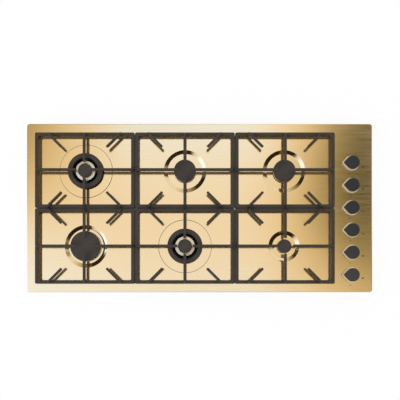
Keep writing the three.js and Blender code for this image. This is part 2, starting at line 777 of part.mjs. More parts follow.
function gasManifold() {
  const front = KNOBS.at(-1).y - MANIFOLD_OVERRUN;
  const rear = TRAY_DEPTH / 2 - TRAY_SHEET - INLET_HEX_LENGTH - FIT;
  const z = MANIFOLD_AXIS;
  const half = MANIFOLD / 2;
  const end = TRAY_DEPTH / 2 + INLET_REACH;
  const rod = (radius, sides, y0, y1) => toSolid(
    new THREE.CylinderGeometry(radius, radius, y1 - y0, sides).translate(0, (y0 + y1) / 2, z),
  );
  const rail = block(-half, half, front, rear + LAP, z - half, z + half);
  const hex = rod(INLET_HEX / 2, 6, rear, rear + INLET_HEX_LENGTH);
  const thread = rod(INLET_THREAD / 2, 16, rear + INLET_HEX_LENGTH - LAP, end);
  const feet = [front + MANIFOLD, rear - MANIFOLD].map((y) => block(
    -half, half, y - half, y + half, TRAY_SHEET + FIT, z - half + LAP,
  ));
  return cut(join(rail, hex, thread, ...feet), rod(INLET_BORE / 2, 12, front + half, end + LAP));
}

function sparkGenerator() {
  const [length, depth, height] = GENERATOR_SIZE;
  const base = TRAY_SHEET + FIT;
  const box = roundedSlab(length, depth, GENERATOR_CORNER, base, base + height, GENERATOR_CHAMFER);
  const [tabLength, tabWidth, tabHeight] = TERMINAL;
  const tabs = Array.from({ length: TERMINAL_COUNT }, (_, i) => {
    const x = (i - (TERMINAL_COUNT - 1) / 2) * TERMINAL_PITCH;
    return block(
      x - tabWidth / 2, x + tabWidth / 2, -tabLength / 2, tabLength / 2,
      base + height - LAP, base + height + tabHeight,
    );
  });
  return join(box, ...tabs);
}

// ---------------------------------------------------------------- assembly

addNode('top_plate', topPlate(), 'gold');
addNode('base_tray', baseTray(), 'galvanised');

const support = panSupport();
const SPREADERS = {
  auxiliary: singleSpreader('auxiliary'),
  semiRapid: singleSpreader('semiRapid'),
  rapid: singleSpreader('rapid'),
  wok: wokSpreader(),
};

function capOf(kind) {
  const seat = seatOf(kind);
  if (kind === 'wok') {
    const throat = WOK.cap / 2 - WOK.overhang - CROWN_WALL;
    const spigot = clearOf(throat, WOK.innerPorts) - FIT;
    return roundCap(WOK.cap / 2, seat + WOK.innerHeight + FIT, spigot, WOK.sides - 4);
  }
  const chamber = BURNERS[kind].cap / 2 - CAP_OVERHANG - CROWN_WALL;
  const { cap, ports } = BURNERS[kind];
  const spigot = clearOf(chamber, ports) - FIT;
  return roundCap(cap / 2, seat + CROWN_HEIGHT + FIT, spigot, ports + 4);
}

for (const site of SITES) {
  const { name, x, y, kind } = site;
  const lane = KNOBS.find((knob) => knob.name === name).y;
  addNode(`pan_support_${name}`, support, 'enamel', x, y);
  addNode(`burner_cap_${name}`, capOf(kind), 'enamel', x, y);
  if (kind === 'wok') addNode(`ring_cap_${name}`, ringCap(), 'enamel', x, y);
  addNode(`flame_spreader_${name}`, SPREADERS[kind], 'aluminium', x, y);
  addNode(`burner_cup_${name}`, burnerCup(site, lane), 'aluminium', x, y);
}

const KNOB_PIECES = {
  knob_cap: [knobCap(), 'black'],
  knob_skirt: [knobSkirt(), 'champagne'],
  tap_spindle: [tapSpindle(), 'steel'],
  tap_plug: [tapPlug(), 'brass'],
  tap_body: [tapBody(), 'brass'],
};
for (const { name, y } of KNOBS) {
  for (const [piece, [solid, material]] of Object.entries(KNOB_PIECES)) {
    addNode(`${piece}_${name}`, solid, material, KNOB_X, y);
  }
}

addNode('gas_manifold', gasManifold(), 'steel', MANIFOLD_X);
addNode(
  'spark_generator', sparkGenerator(), 'plastic',
  KNOB_X - GENERATOR_FROM_TAPS, TRAY_DEPTH / 2 - GENERATOR_FROM_REAR,
);

export default cooktop;
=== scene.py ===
import math
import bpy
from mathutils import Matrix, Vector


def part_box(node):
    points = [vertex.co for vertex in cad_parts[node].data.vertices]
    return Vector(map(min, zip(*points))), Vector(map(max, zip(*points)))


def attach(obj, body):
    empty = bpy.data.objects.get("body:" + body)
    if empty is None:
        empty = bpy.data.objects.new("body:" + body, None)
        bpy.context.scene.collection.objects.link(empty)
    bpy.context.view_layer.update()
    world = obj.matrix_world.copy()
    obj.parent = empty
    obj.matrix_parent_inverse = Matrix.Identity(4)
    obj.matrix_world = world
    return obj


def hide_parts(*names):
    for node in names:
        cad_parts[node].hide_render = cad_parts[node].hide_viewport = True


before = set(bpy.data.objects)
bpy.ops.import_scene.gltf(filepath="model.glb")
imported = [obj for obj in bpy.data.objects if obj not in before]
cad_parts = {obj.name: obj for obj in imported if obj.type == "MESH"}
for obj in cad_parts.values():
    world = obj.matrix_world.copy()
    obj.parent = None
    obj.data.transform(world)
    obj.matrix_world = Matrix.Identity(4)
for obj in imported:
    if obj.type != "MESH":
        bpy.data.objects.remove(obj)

from types import SimpleNamespace

import bmesh
import bpy
from mathutils import Matrix, Vector

bl_info = {
    "name": "Gas Cooktop",
    "version": (1, 0, 0),
    "blender": (4, 5, 0),
    "location": "View3D > Sidebar > Cooktop",
    "description": "Finished surfaces of a six-burner gas cooktop, built round its frame",
    "category": "Add Mesh",
}

# ------ sizes and places

MM = 0.001
FULL_TURN = 2 * math.pi
QUARTER_TURN = math.pi / 2
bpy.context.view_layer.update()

SITES = [f"{row}_{column}" for row in ("rear", "front") for column in ("left", "middle", "right")]
KINDS = {
    "rear_left": "wok", "rear_middle": "semi_rapid", "rear_right": "semi_rapid",
    "front_left": "rapid", "front_middle": "wok", "front_right": "auxiliary",
}


def middle(node):
    """The point halfway between the corners of a node's box."""
    low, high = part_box(node)
    return (low + high) / 2


def in_metres(**sizes):
    """Named sizes in metres, from sizes in millimetres."""
    return SimpleNamespace(**{name: size * MM for name, size in sizes.items()})


PLATE_LOW, PLATE_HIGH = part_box("top_plate")
PLATE_TOP = PLATE_HIGH.z
AXES = {site: middle(f"burner_cap_{site}").to_2d() for site in SITES}
KNOB_AXES = {site: middle(f"tap_plug_{site}").to_2d() for site in SITES}

SHEET = 1.2 * MM
FIT = 0.3 * MM  # gap between pieces that seat on each other
WELD = 1e-6  # points nearer than this are merged
LEVEL, UPRIGHT = 0.99, 0.3  # size of a normal's Z, above which a face is level or below upright
DOWNWARD = -0.5  # a normal's Z below this looks down
TOP_INSET = 2 * MM  # from the plate's rounded edge to its flat top
WELL_RADIUS = vars(in_metres(auxiliary=51, semi_rapid=70, rapid=70, wok=87.5))
WELL = in_metres(depth=3, border=3, circle_depth=0.4, circle_band=1.2, bend=0.5)
SPINDLE_HOLE = 6 * MM

# Cups, crowns and caps, up from the sheet that each burner stands on
CUP_FLANGE = 3 * MM
CUP_WALL = 3 * MM
CUP = in_metres(depth=27, throat=9, bend=0.7, wide_flange=1.5, shrink=1)
CROWN = in_metres(wall=6, height=14, port=5.5, spigot=5, notch=8)
CAP = in_metres(overhang=6, spigot=2, rim=2.6, slope=2, brow=0.8, dome=0.1, bend=1.3)
PORTS = {"auxiliary": 20, "semi_rapid": 32, "rapid": 40, "wok": 40, "wok_inner": 20}
WOK = in_metres(
    cap=23, shoulder=32, ring_inner=42, ring_outer=57.5, overhang=3.5, crown=12, inner_crown=16,
    inner_port=4.5, shoulder_top=10, shoulder_slope=0.8, bridge=12, web=3, ring_wall=3.4,
    ring_slope=3.3, ring_bend=1.1,
)
SENSOR = in_metres(
    height=12, clearance=3.2, electrode=2, thermocouple=1.5, neck=4, cone=0.4, sunk=0.2, point=0.6,
)
SENSOR_TURNS = {"electrode": math.radians(45), "thermocouple": math.radians(225)}

SUPPORT = in_metres(
    bar_width=11.5, bar_top=29, bar_height=14, corner=5, finger_top=46, finger_width=8.8,
    finger_height=13, chamfer=2.2, tip=24.2, diagonal_width=8, diagonal_tip=72, end=3, end_slope=4,
    gusset=9, gusset_inset=0.4, foot_top=5, foot_bottom=4,
)
TIP_SLOPE = 0.3  # how far a finger's end leans back for each unit down

KNOB = in_metres(radius=22, tip=3, nose=29, edge=3, bend=1.2)
SKIRT = in_metres(lip=2.7, lip_height=1.2, lip_top=2.3, slope_height=1.5, wall=0.7, wall_height=2)
MARK = in_metres(
    ink=0.08, tick_start=34, tick_end=28, tick_half=0.8, high_x=4, high_y=34.5, high_radius=1.7,
    plan_x=35.5, plan_y=9.5, plan_pitch=2.8, plan_dot=1.15, plan_own_dot=1.6,
)

GAS_LINE = 16 * MM  # height of the supply tubes
TUBE = in_metres(radius=4, bend=10, from_tap=17.3)
INJECTOR = in_metres(below=7, radius=8, shoulder=5, cone=2, bore=0.6)
RAIL = 16 * MM  # side of the gas manifold's square rail
RAIL_EDGE = 1.2 * MM
INLET = in_metres(
    crest=20.955 / 2, root=18.631 / 2, pitch=1.814, bore=7, reach=23.3, hexagon=13,
    hexagon_length=10, hexagon_edge=0.6,
)

# The stage, in metres from the frame's origin
CAMERA_FRONT = -0.22
CAMERA_HEIGHT = 2.3
CAMERA_LENS = 63.0
CAMERA_SHIFT = (0.0009, 0.1875)
FLOOR_SIZE = 12
FLOOR_GLOW = 0.93  # share of its own light that the camera and mirrors see in the floor
LAMPS = {"softbox_left": ((-1.9, -1.3, 2.2), 1.6, 26), "softbox_right": ((1.8, 1.5, 2.4), 1.2, 12)}


def floor_of(site):
    """Height of the sheet under a burner."""
    return PLATE_TOP - (WELL.circle_depth if KINDS[site] == "wok" else WELL.depth)


def seat_of(site):
    """Height of the crown's seat on its cup."""
    return floor_of(site) + CUP_FLANGE + 2 * FIT


def burner_radii(site):
    """Outer radius of the crown, the cup's flange and its body, and the reach of its sensors."""
    if KINDS[site] == "wok":
        crown = WOK.ring_outer - WOK.overhang
        body = WOK.ring_inner + CUP_WALL
        return crown, crown - CUP.shrink, body, (body + crown) / 2
    low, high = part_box(f"burner_cap_{site}")
    cap = (high.x - low.x) / 2
    crown = cap - CAP.overhang
    flange = cap + (CUP.wide_flange if KINDS[site] == "rapid" else 0)
    return crown, flange, crown - CUP.shrink, crown + SENSOR.clearance


# ------ colours and nodes

WHITE = (1.0, 1.0, 1.0, 1.0)
A, B = 6, 7  # the colour inputs of a Mix node


def linear(code):
    """A hex sRGB colour as linear red, green, blue and alpha."""
    parts = [int(code[i:i + 2], 16) / 255 for i in (0, 2, 4)]
    return (*(p / 12.92 if p <= 0.04045 else ((p + 0.055) / 1.055) ** 2.4 for p in parts), 1.0)


def toned(colour, factor):
    """A colour made darker or lighter by a factor."""
    return (*(min(c * factor, 1) for c in colour[:3]), 1.0)


def feed(tree, node, inputs):
    """Sets a node's inputs, by name or in their order, to values or links from sockets or nodes."""
    if not isinstance(inputs, dict):
        inputs = dict(enumerate(inputs))
    for name, value in inputs.items():
        if isinstance(value, bpy.types.Node):
            value = next(output for output in value.outputs if output.enabled)
        if isinstance(value, bpy.types.NodeSocket):
            tree.links.new(value, node.inputs[name])
        else:
            node.inputs[name].default_value = value


def add(tree, kind, inputs=(), **settings):
    """Adds a shader node with its settings and inputs."""
    node = tree.nodes.new("ShaderNode" + kind)
    for name, value in settings.items():
        setattr(node, name, value)
    feed(tree, node, inputs)
    return node


def new_material(name):
    """A new material, its tree and the Object coordinates that its patterns read."""
    material = bpy.data.materials.new(name)
    material.use_nodes = True
    tree = material.node_tree
    return material, tree, add(tree, "TexCoord").outputs["Object"]


def dressed(material, inputs):
    """The material, with these inputs on its Principled shader."""
    tree = material.node_tree
    feed(tree, tree.nodes["Principled BSDF"], inputs)
    return material


def ramp_stops(node, stops):
    """Gives a colour ramp its (position, colour) stops."""
    elements = node.color_ramp.elements
    while len(elements) > 1:
        elements.remove(elements[-1])
    elements[0].position, elements[0].color = stops[0]
    for position, colour in stops[1:]:
        elements.new(position).color = colour
    return node


# ------ settings


def length(name, description, default):
    """A length setting in metres."""
    return bpy.props.FloatProperty(
        name=name, description=description, default=default, unit="LENGTH", subtype="DISTANCE",
    )


def colour(name, description, code):
    """A colour setting, from its sRGB hex code."""
    return bpy.props.FloatVectorProperty(
        name=name, description=description, default=linear(code), subtype="COLOR", size=4,
    )


class CooktopSizes(bpy.types.PropertyGroup):
    """Sizes of the finished surfaces that the frame leaves open."""

    edge_radius: length("Edge radius", "Rounding of the plate's upper edge", 1.1 * MM)
    plate_corner: length("Plate corner", "Radius of the plate's corners from above", 9 * MM)
    seat_width: length("Seat width", "Width of the edge turned in under the plate", 14 * MM)
    well_band: length("Well band", "Width of the sloping ring round a burner well", 12.5 * MM)
    cast_radius: length("Cast radius", "Rounding of the pan supports' edges", 0.9 * MM)
    segments: bpy.props.IntProperty(
        name="Segments", description="Steps round a turned surface", default=96, min=24,
    )


class CooktopColours(bpy.types.PropertyGroup):
    """Colours of the finishes, as linear values of the hex codes."""

    gold: colour("Gold", "Coated sheet", "EBD09C")
    charcoal: colour("Charcoal", "Cast enamel", "3A342D")
    # A paler copy of the charcoal enamel for the supports' undersides: painted bounce light
    painted_light_underside: colour("Underside", "Thinner enamel under the pan supports", "A69F8E")
    cap: colour("Cap", "Cap enamel", "3D3731")
    aluminium: colour("Aluminium", "Burner castings", "FAE6BA")
    blackened: colour("Blackened", "Wok burner castings", "2A221A")
    knob: colour("Knob", "Moulded knob caps", "0A0B0C")
    knob_wall: colour("Knob wall", "Upright faces of the knob caps", "1C1618")
    champagne: colour("Champagne", "Knob skirts", "FFF0CE")
    print_ink: colour("Print", "Printed marks", "2A261F")


# ------ modelling helpers


def rounded(points, reach, steps=4):
    """The outline with each inner corner drawn round, starting reach before the corner."""
    outline = [Vector(points[0])]
    for before, corner, after in zip(points, points[1:], points[2:]):
        corner = Vector(corner)
        back, on = Vector(before) - corner, Vector(after) - corner
        cut = min(reach, 0.45 * min(back.length, on.length))
        start, end = corner + back.normalized() * cut, corner + on.normalized() * cut
        for i in range(steps + 1):
            t = i / steps
            outline.append(start * (1 - t) ** 2 + corner * 2 * t * (1 - t) + end * t * t)
    outline.append(Vector(points[-1]))
    return outline


def rounded_loop(corners, reach, steps=4):
    """A closed outline with every corner drawn round."""
    return rounded([corners[-1], *corners, corners[0]], reach, steps)[1:-1]


def turned(bm, outline, segments, start=0.0, sweep=FULL_TURN, closed=False):
    """Spins an outline of (radius, height) points about the upright line through the origin."""
    verts = [bm.verts.new((r, 0, z)) for r, z in outline]
    pairs = list(zip(verts, verts[1:])) + ([(verts[-1], verts[0])] if closed else [])
    edges = [bm.edges.new(pair) for pair in pairs]
    swing(bm, verts, start)
    full = sweep >= FULL_TURN
    spun = bmesh.ops.spin(
        bm, geom=verts + edges, cent=(0, 0, 0), axis=(0, 0, 1), angle=sweep, steps=segments,
        use_merge=full,
    )
    if not full:
        ends = [e for e in edges if e.is_boundary]
        ends += [e for e in spun["geom_last"] if isinstance(e, bmesh.types.BMEdge)]
        bmesh.ops.holes_fill(bm, edges=ends, sides=0)


def swing(bm, verts, turn):
    """Turns verts about the upright line through the origin."""
    bmesh.ops.rotate(bm, verts=verts, cent=(0, 0, 0), matrix=Matrix.Rotation(turn, 3, "Z"))


def move(bm, axis, verts=None):
    """Moves verts, or all of them, from the origin to an upright axis."""
    bmesh.ops.translate(bm, verts=verts or bm.verts[:], vec=(axis.x, axis.y, 0))


def extruded(bm, faces, along, **settings):
    """Extrudes faces along a vector and returns the moved vertices and one of the new faces."""
    new = bmesh.ops.extrude_face_region(bm, geom=faces, **settings)["geom"]
    verts = [v for v in new if isinstance(v, bmesh.types.BMVert)]
    bmesh.ops.translate(bm, verts=verts, vec=along)
    return verts, next(f for f in new if isinstance(f, bmesh.types.BMFace))


def bevelled(bm, geom, affect, offset, segments):
    """Bevels edges or corners with a round profile."""
    bmesh.ops.bevel(
        bm, geom=geom, affect=affect, offset=offset, offset_type="OFFSET", segments=segments,
        profile=0.5, material=-1, clamp_overlap=affect == "EDGES",
    )


def placed(name, data):
    """Puts a new object in the scene."""
    thing = bpy.data.objects.new(name, data)
    bpy.context.scene.collection.objects.link(thing)
    return thing


def outwards(bm):
    """Points the faces of a closed solid outwards."""
    bmesh.ops.recalc_face_normals(bm, faces=bm.faces[:])


def closed_mesh(bm):
    """Merges doubles and points the faces outwards."""
    bmesh.ops.remove_doubles(bm, verts=bm.verts[:], dist=WELD)
    bmesh.ops.dissolve_degenerate(bm, edges=bm.edges[:], dist=WELD / 10)
    outwards(bm)


def finished(bm, name, materials, body, replaces=(), sharp=math.radians(32)):
    """Turns a bmesh into a piece that rides on a body, smooth but for edges sharper than sharp."""
    for face in bm.faces:
        face.smooth = True
    for edge in bm.edges:
        if len(edge.link_faces) == 2:
            edge.smooth = edge.calc_face_angle(0) < sharp
    mesh = bpy.data.meshes.new(name)
    bm.to_mesh(mesh)
    bm.free()
    if not mesh.polygons:
        raise RuntimeError(f"{name} came out empty")
    for material in materials:
        mesh.materials.append(material)
    piece = placed(name, mesh)
    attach(piece, body)
    if replaces:
        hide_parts(*replaces)
    # Large flat faces keep their own normals beside small rounded ones
    flat = piece.modifiers.new("flat_faces", "WEIGHTED_NORMAL")
    flat.mode, flat.weight, flat.keep_sharp = "FACE_AREA", 50, True


def turned_piece(outline, segments, axis, name, material, body, node, closed=False):
    """Makes a finished piece by spinning an outline about an upright axis."""
    bm = bmesh.new()
    turned(bm, outline, segments, closed=closed)
    move(bm, axis)
    closed_mesh(bm)
    finished(bm, name, [material], body, [node])


def prism(bm, outline, along):
    """Extrudes a flat outline into a closed solid of its own and returns its vertices."""
    face = bm.faces.new([bm.verts.new(point) for point in outline])
    moved, _ = extruded(bm, [face], along)
    verts = list({v for f in {f for v in moved for f in v.link_faces} for v in f.verts})
    bmesh.ops.recalc_face_normals(bm, faces=list({f for v in verts for f in v.link_faces}))
    return verts


def eased(bm, verts, radius):
    """Rounds the edges of a closed solid and returns its vertices."""
    others = set(bm.verts) - set(verts)
    least = math.radians(20)
    edges = {e for v in verts for e in v.link_edges if abs(e.calc_face_angle(0)) > least}
    bevelled(bm, list(edges), "EDGES", radius, 3)
    return [v for v in bm.verts if v not in others]


def united(bm):
    """Joins the overlapping closed solids of a bmesh into one skin."""
    mesh = bpy.data.meshes.new("parts")
    bm.to_mesh(mesh)
    holder = placed("parts", mesh)
    union = holder.modifiers.new("union", "BOOLEAN")
    union.operation, union.operand_type, union.solver = "UNION", "COLLECTION", "EXACT"
    union.collection = bpy.data.collections.new("none")
    union.use_self = True
    whole = holder.evaluated_get(bpy.context.evaluated_depsgraph_get()).to_mesh()
    bm.clear()
    bm.from_mesh(whole)
    bpy.data.collections.remove(union.collection)
    bpy.data.objects.remove(holder)
    bpy.data.meshes.remove(mesh)
    bmesh.ops.remove_doubles(bm, verts=bm.verts[:], dist=WELD)


def rectangle(bm, half_x, half_y, height, corner, steps):
    """Adds a level rectangle about the origin, with round corners."""
    corners = bmesh.ops.create_grid(bm, x_segments=1, y_segments=1, size=1)["verts"]
    bmesh.ops.scale(bm, verts=corners, vec=(half_x, half_y, 1))
    bmesh.ops.translate(bm, verts=corners, vec=(0, 0, height))
    bevelled(bm, corners, "VERTICES", corner, steps)


def box(bm, low, high):
    """Adds a box between two corners and returns its vertices."""
    low, high = Vector(low), Vector(high)
    verts = bmesh.ops.create_cube(bm, size=1)["verts"]
    bmesh.ops.scale(bm, verts=verts, vec=high - low)
    bmesh.ops.translate(bm, verts=verts, vec=(low + high) / 2)
    return verts


# ------ materials


def gold_sheet(gold):
    """PVD-coated stainless sheet, satin ground along X: near mirror, drawn out by fine lines."""
    material, tree, place = new_material("pvd_gold_satin_steel")
    # Grinding lines are about 0.1 mm apart, drawn here 1.5 mm apart so that they show
    along = add(tree, "Mapping", {"Vector": place, "Scale": (12, 650, 650)})
    lines = add(tree, "TexNoise", {"Vector": along, "Scale": 1.0, "Detail": 3.0})
    # The coat's tint drifts over about 110 mm
    cloud = add(tree, "TexNoise", {"Vector": place, "Scale": 9.0, "Detail": 2.0})
    tint = add(tree, "Mix", {
        "Factor": cloud, A: tuple(gold), B: toned(gold, 0.98),
    }, data_type="RGBA")
    gloss = add(tree, "MapRange", (lines, 0.3, 0.7, 0.08, 0.14))
    bump = add(tree, "Bump", {"Height": lines, "Strength": 0.04, "Distance": 0.02 * MM})
    across = add(tree, "CombineXYZ", {"Y": 1.0})
    return dressed(material, {
        "Base Color": tint, "Roughness": gloss, "Normal": bump, "Tangent": across,
        "Anisotropic": 0.4, "Metallic": 1.0,
    })


def turned_aluminium(base, axis, name):
    """Die-cast aluminium faced on a lathe: fine rings round the burner's axis, soft shine."""
    material, tree, place = new_material(name)
    centred = add(tree, "Mapping", {"Vector": place, "Location": (-axis.x, -axis.y, 0)})
    # Tool marks are about 0.15 mm apart, drawn 0.8 mm apart so that they show. A wave's rings
    # are 0.31 apart at a scale of 1
    rings = add(tree, "TexWave", {
        "Vector": centred, "Scale": 0.31 / (0.8 * MM), "Distortion": 0.4, "Detail": 1.0,
    }, wave_type="RINGS", rings_direction="Z").outputs["Fac"]
    # Heat leaves stains about 11 mm across
    soot = add(tree, "TexNoise", {"Vector": place, "Scale": 90.0, "Detail": 3.0})
    tone = add(tree, "Mix", {"Factor": soot, A: tuple(base), B: toned(base, 0.9)}, data_type="RGBA")
    bump = add(tree, "Bump", {"Height": rings, "Strength": 0.15, "Distance": 0.04 * MM})
    return dressed(material, {
        "Base Color": tone, "Normal": bump, "Metallic": 1.0, "Roughness": 0.36,
    })


def grained(
    name, scale, detail, tones, roughness, spread=0, stretch=None, relief=None, patches=None, **rest
):
    """A finish from one noise, which mixes two tones, spreads the roughness and raises the
    relief, given as (strength, distance). Patches is the scale of a second noise that mixes the
    tones instead. The rest are inputs of the shader, with _ for each space."""
    material, tree, place = new_material(name)
    if stretch:
        place = add(tree, "Mapping", {"Vector": place, "Scale": stretch})
    grain = mottle = add(tree, "TexNoise", {"Vector": place, "Scale": scale, "Detail": detail})
    if patches:
        mottle = add(tree, "TexNoise", {"Vector": place, "Scale": patches, "Detail": 2})
    tone = add(tree, "Mix", {"Factor": mottle, A: tones[0], B: tones[1]}, data_type="RGBA")
    inputs = {name.replace("_", " "): value for name, value in rest.items()}
    if spread:
        roughness = add(tree, "MapRange", (grain, 0, 1, roughness - spread, roughness + spread))
    if relief:
        strength, distance = relief
        inputs["Normal"] = add(tree, "Bump", {
            "Height": grain, "Strength": strength, "Distance": distance,
        })
    return dressed(material, {"Base Color": tone, "Roughness": roughness, **inputs})


def enamel(name, base, grain, roughness, relief, lustre=0.5):
    """Matt vitreous enamel: a dark, slightly uneven skin, grain across in metres."""
    # Firing leaves patches about 45 mm across
    return grained(
        name, 1 / grain, 4, (toned(base, 0.82), toned(base, 1.28)), roughness, 0.08,
        relief=(0.5, relief), patches=22, Specular_IOR_Level=lustre,
    )


def moulded_plastic(name, base, roughness, **rest):
    """Moulded heat-proof plastic from a spark-eroded tool: an even fine grain."""
    # The spark grain is about 0.1 mm, drawn at 0.5 mm so that it shows
    tones = toned(base, 0.9), toned(base, 1.12)
    return grained(name, 1 / (0.5 * MM), 2, tones, roughness, relief=(0.25, 0.05 * MM), **rest)


def worked_metal(name, base, roughness, stretch=(300, 300, 12), share=1.0):
    """A drawn or machined metal: streaks stretched along one axis, in colour and in shine."""
    # The marks are about 0.1 mm apart, drawn 3.3 mm apart and 83 mm long so that they show
    return grained(
        name, 1, 3, (toned(base, 1), toned(base, 0.8)), roughness, 0.06, stretch, Metallic=share,
    )


def glazed_ceramic():
    """Glazed alumina of the spark electrodes: white, faintly speckled, glossy."""
    # The specks are about 0.2 mm across, drawn at 1.1 mm so that they show
    return grained("glazed_alumina", 900, 2, (linear("F1EEE6"), linear("DAD5C8")), 0.22)


def printed_ink(ink):
    """Fired screen print: matt dark ink with a ragged density."""
    # The screen's mesh is about 0.1 mm, drawn at 0.4 mm so that it shows
    return grained("fired_screen_print", 2500, 1, (toned(ink, 1), toned(ink, 1.6)), 0.6)


def zinc_sheet():
    """Hot-dip galvanised steel sheet: grey crystals about 12 mm across, each with its own shine."""
    material, tree, place = new_material("galvanised_steel")
    crystals = add(tree, "TexVoronoi", {"Vector": place, "Scale": 1 / (12 * MM)})
    value = add(tree, "SeparateColor", {"Color": crystals.outputs["Color"]})
    tone = add(tree, "Mix", {
        "Factor": value.outputs["Red"], A: linear("A6A8A9"), B: linear("C3C5C5"),
    }, data_type="RGBA")
    gloss = add(tree, "MapRange", (value.outputs["Green"], 0, 1, 0.34, 0.5))
    return dressed(material, {"Base Color": tone, "Roughness": gloss, "Metallic": 1.0})


# ------ operators


class COOKTOP_OT_plate(bpy.types.Operator):
    """Make the top plate: one sheet with its wells pressed in and its edge turned under"""

    bl_idname = "cooktop.plate"
    bl_label = "Top plate"

    def well(self, bm, site, sizes):
        """Adds the pressed area round one burner, about the origin."""
        radius, floor, border = WELL_RADIUS[KINDS[site]], floor_of(site), WELL.border
        _, _, body, _ = burner_radii(site)
        band = WELL.circle_band if KINDS[site] == "wok" else sizes.well_band
        outline = [(radius + border, PLATE_TOP), *rounded([
            (radius + border / 2, PLATE_TOP), (radius, PLATE_TOP), (radius - band, floor),
            (radius - band - border, floor),
        ], WELL.bend), (body + FIT, floor)]
        turned(bm, outline, sizes.segments)

    def execute(self, context):
        sizes, colours = context.scene.cooktop_sizes, context.scene.cooktop_colours
        half = (PLATE_HIGH - PLATE_LOW) / 2
        bm = bmesh.new()
        # The sheet's outside: a lid with its upper edge rounded
        rectangle(bm, half.x, half.y, PLATE_LOW.z, sizes.plate_corner, 10)
        extruded(bm, bm.faces[:], (0, 0, PLATE_TOP - PLATE_LOW.z))
        rim = [e for e in bm.edges if all(v.co.z > PLATE_TOP - FIT for v in e.verts)]
        bevelled(bm, rim, "EDGES", sizes.edge_radius, 5)
        wide = sorted(bm.faces, key=lambda f: f.calc_area())[-2:]
        under, top = sorted(wide, key=lambda f: f.calc_center_median().z)
        bmesh.ops.inset_region(bm, faces=[top], thickness=TOP_INSET)
        sheet_edges = list(top.edges)
        bmesh.ops.delete(bm, geom=[top, under], context="FACES_ONLY")

        # The seat, turned in under the sheet
        lowest = [e for e in bm.edges if e.is_boundary and e.verts[0].co.z < PLATE_LOW.z + FIT]
        seat = bmesh.ops.extrude_edge_only(bm, edges=lowest)["geom"]
        for vert in (v for v in seat if isinstance(v, bmesh.types.BMVert)):
            vert.co.x -= math.copysign(sizes.seat_width, vert.co.x)
            vert.co.y -= math.copysign(sizes.seat_width, vert.co.y)

        # Wells and spindle holes, then the flat between them
        for site in SITES:
            before = set(bm.verts)
            self.well(bm, site, sizes)
            new = [v for v in bm.verts if v not in before]
            if KINDS[site] == "wok":
                for face in {f for v in new for f in v.link_faces}:
                    face.material_index = int(abs(face.normal.z) < LEVEL)
            move(bm, AXES[site], new)
            reach = WELL_RADIUS[KINDS[site]] + WELL.border
            sheet_edges += [
                e for e in bm.edges if e.is_boundary and e.verts[0] not in before
                and (e.verts[0].co.to_2d() - AXES[site]).length > reach - FIT
            ]
        for axis in KNOB_AXES.values():
            hole = bmesh.ops.create_circle(
                bm, segments=32, radius=SPINDLE_HOLE,
                matrix=Matrix.Translation((axis.x, axis.y, PLATE_TOP)),
            )["verts"]
            sheet_edges += list({e for v in hole for e in v.link_edges})
        bmesh.ops.triangle_fill(bm, use_beauty=True, edges=sheet_edges, normal=(0, 0, 1))
        bmesh.ops.remove_doubles(bm, verts=bm.verts[:], dist=WELD)
        outwards(bm)
        if max(bm.faces, key=lambda f: f.calc_area()).normal.z < 0:
            bmesh.ops.reverse_faces(bm, faces=bm.faces[:])
        bmesh.ops.solidify(bm, geom=bm.faces[:], thickness=SHEET)
        materials = [gold_sheet(colours.gold), printed_ink(colours.print_ink)]
        finished(bm, "plate", materials, "root", ["top_plate"])
        return {"FINISHED"}


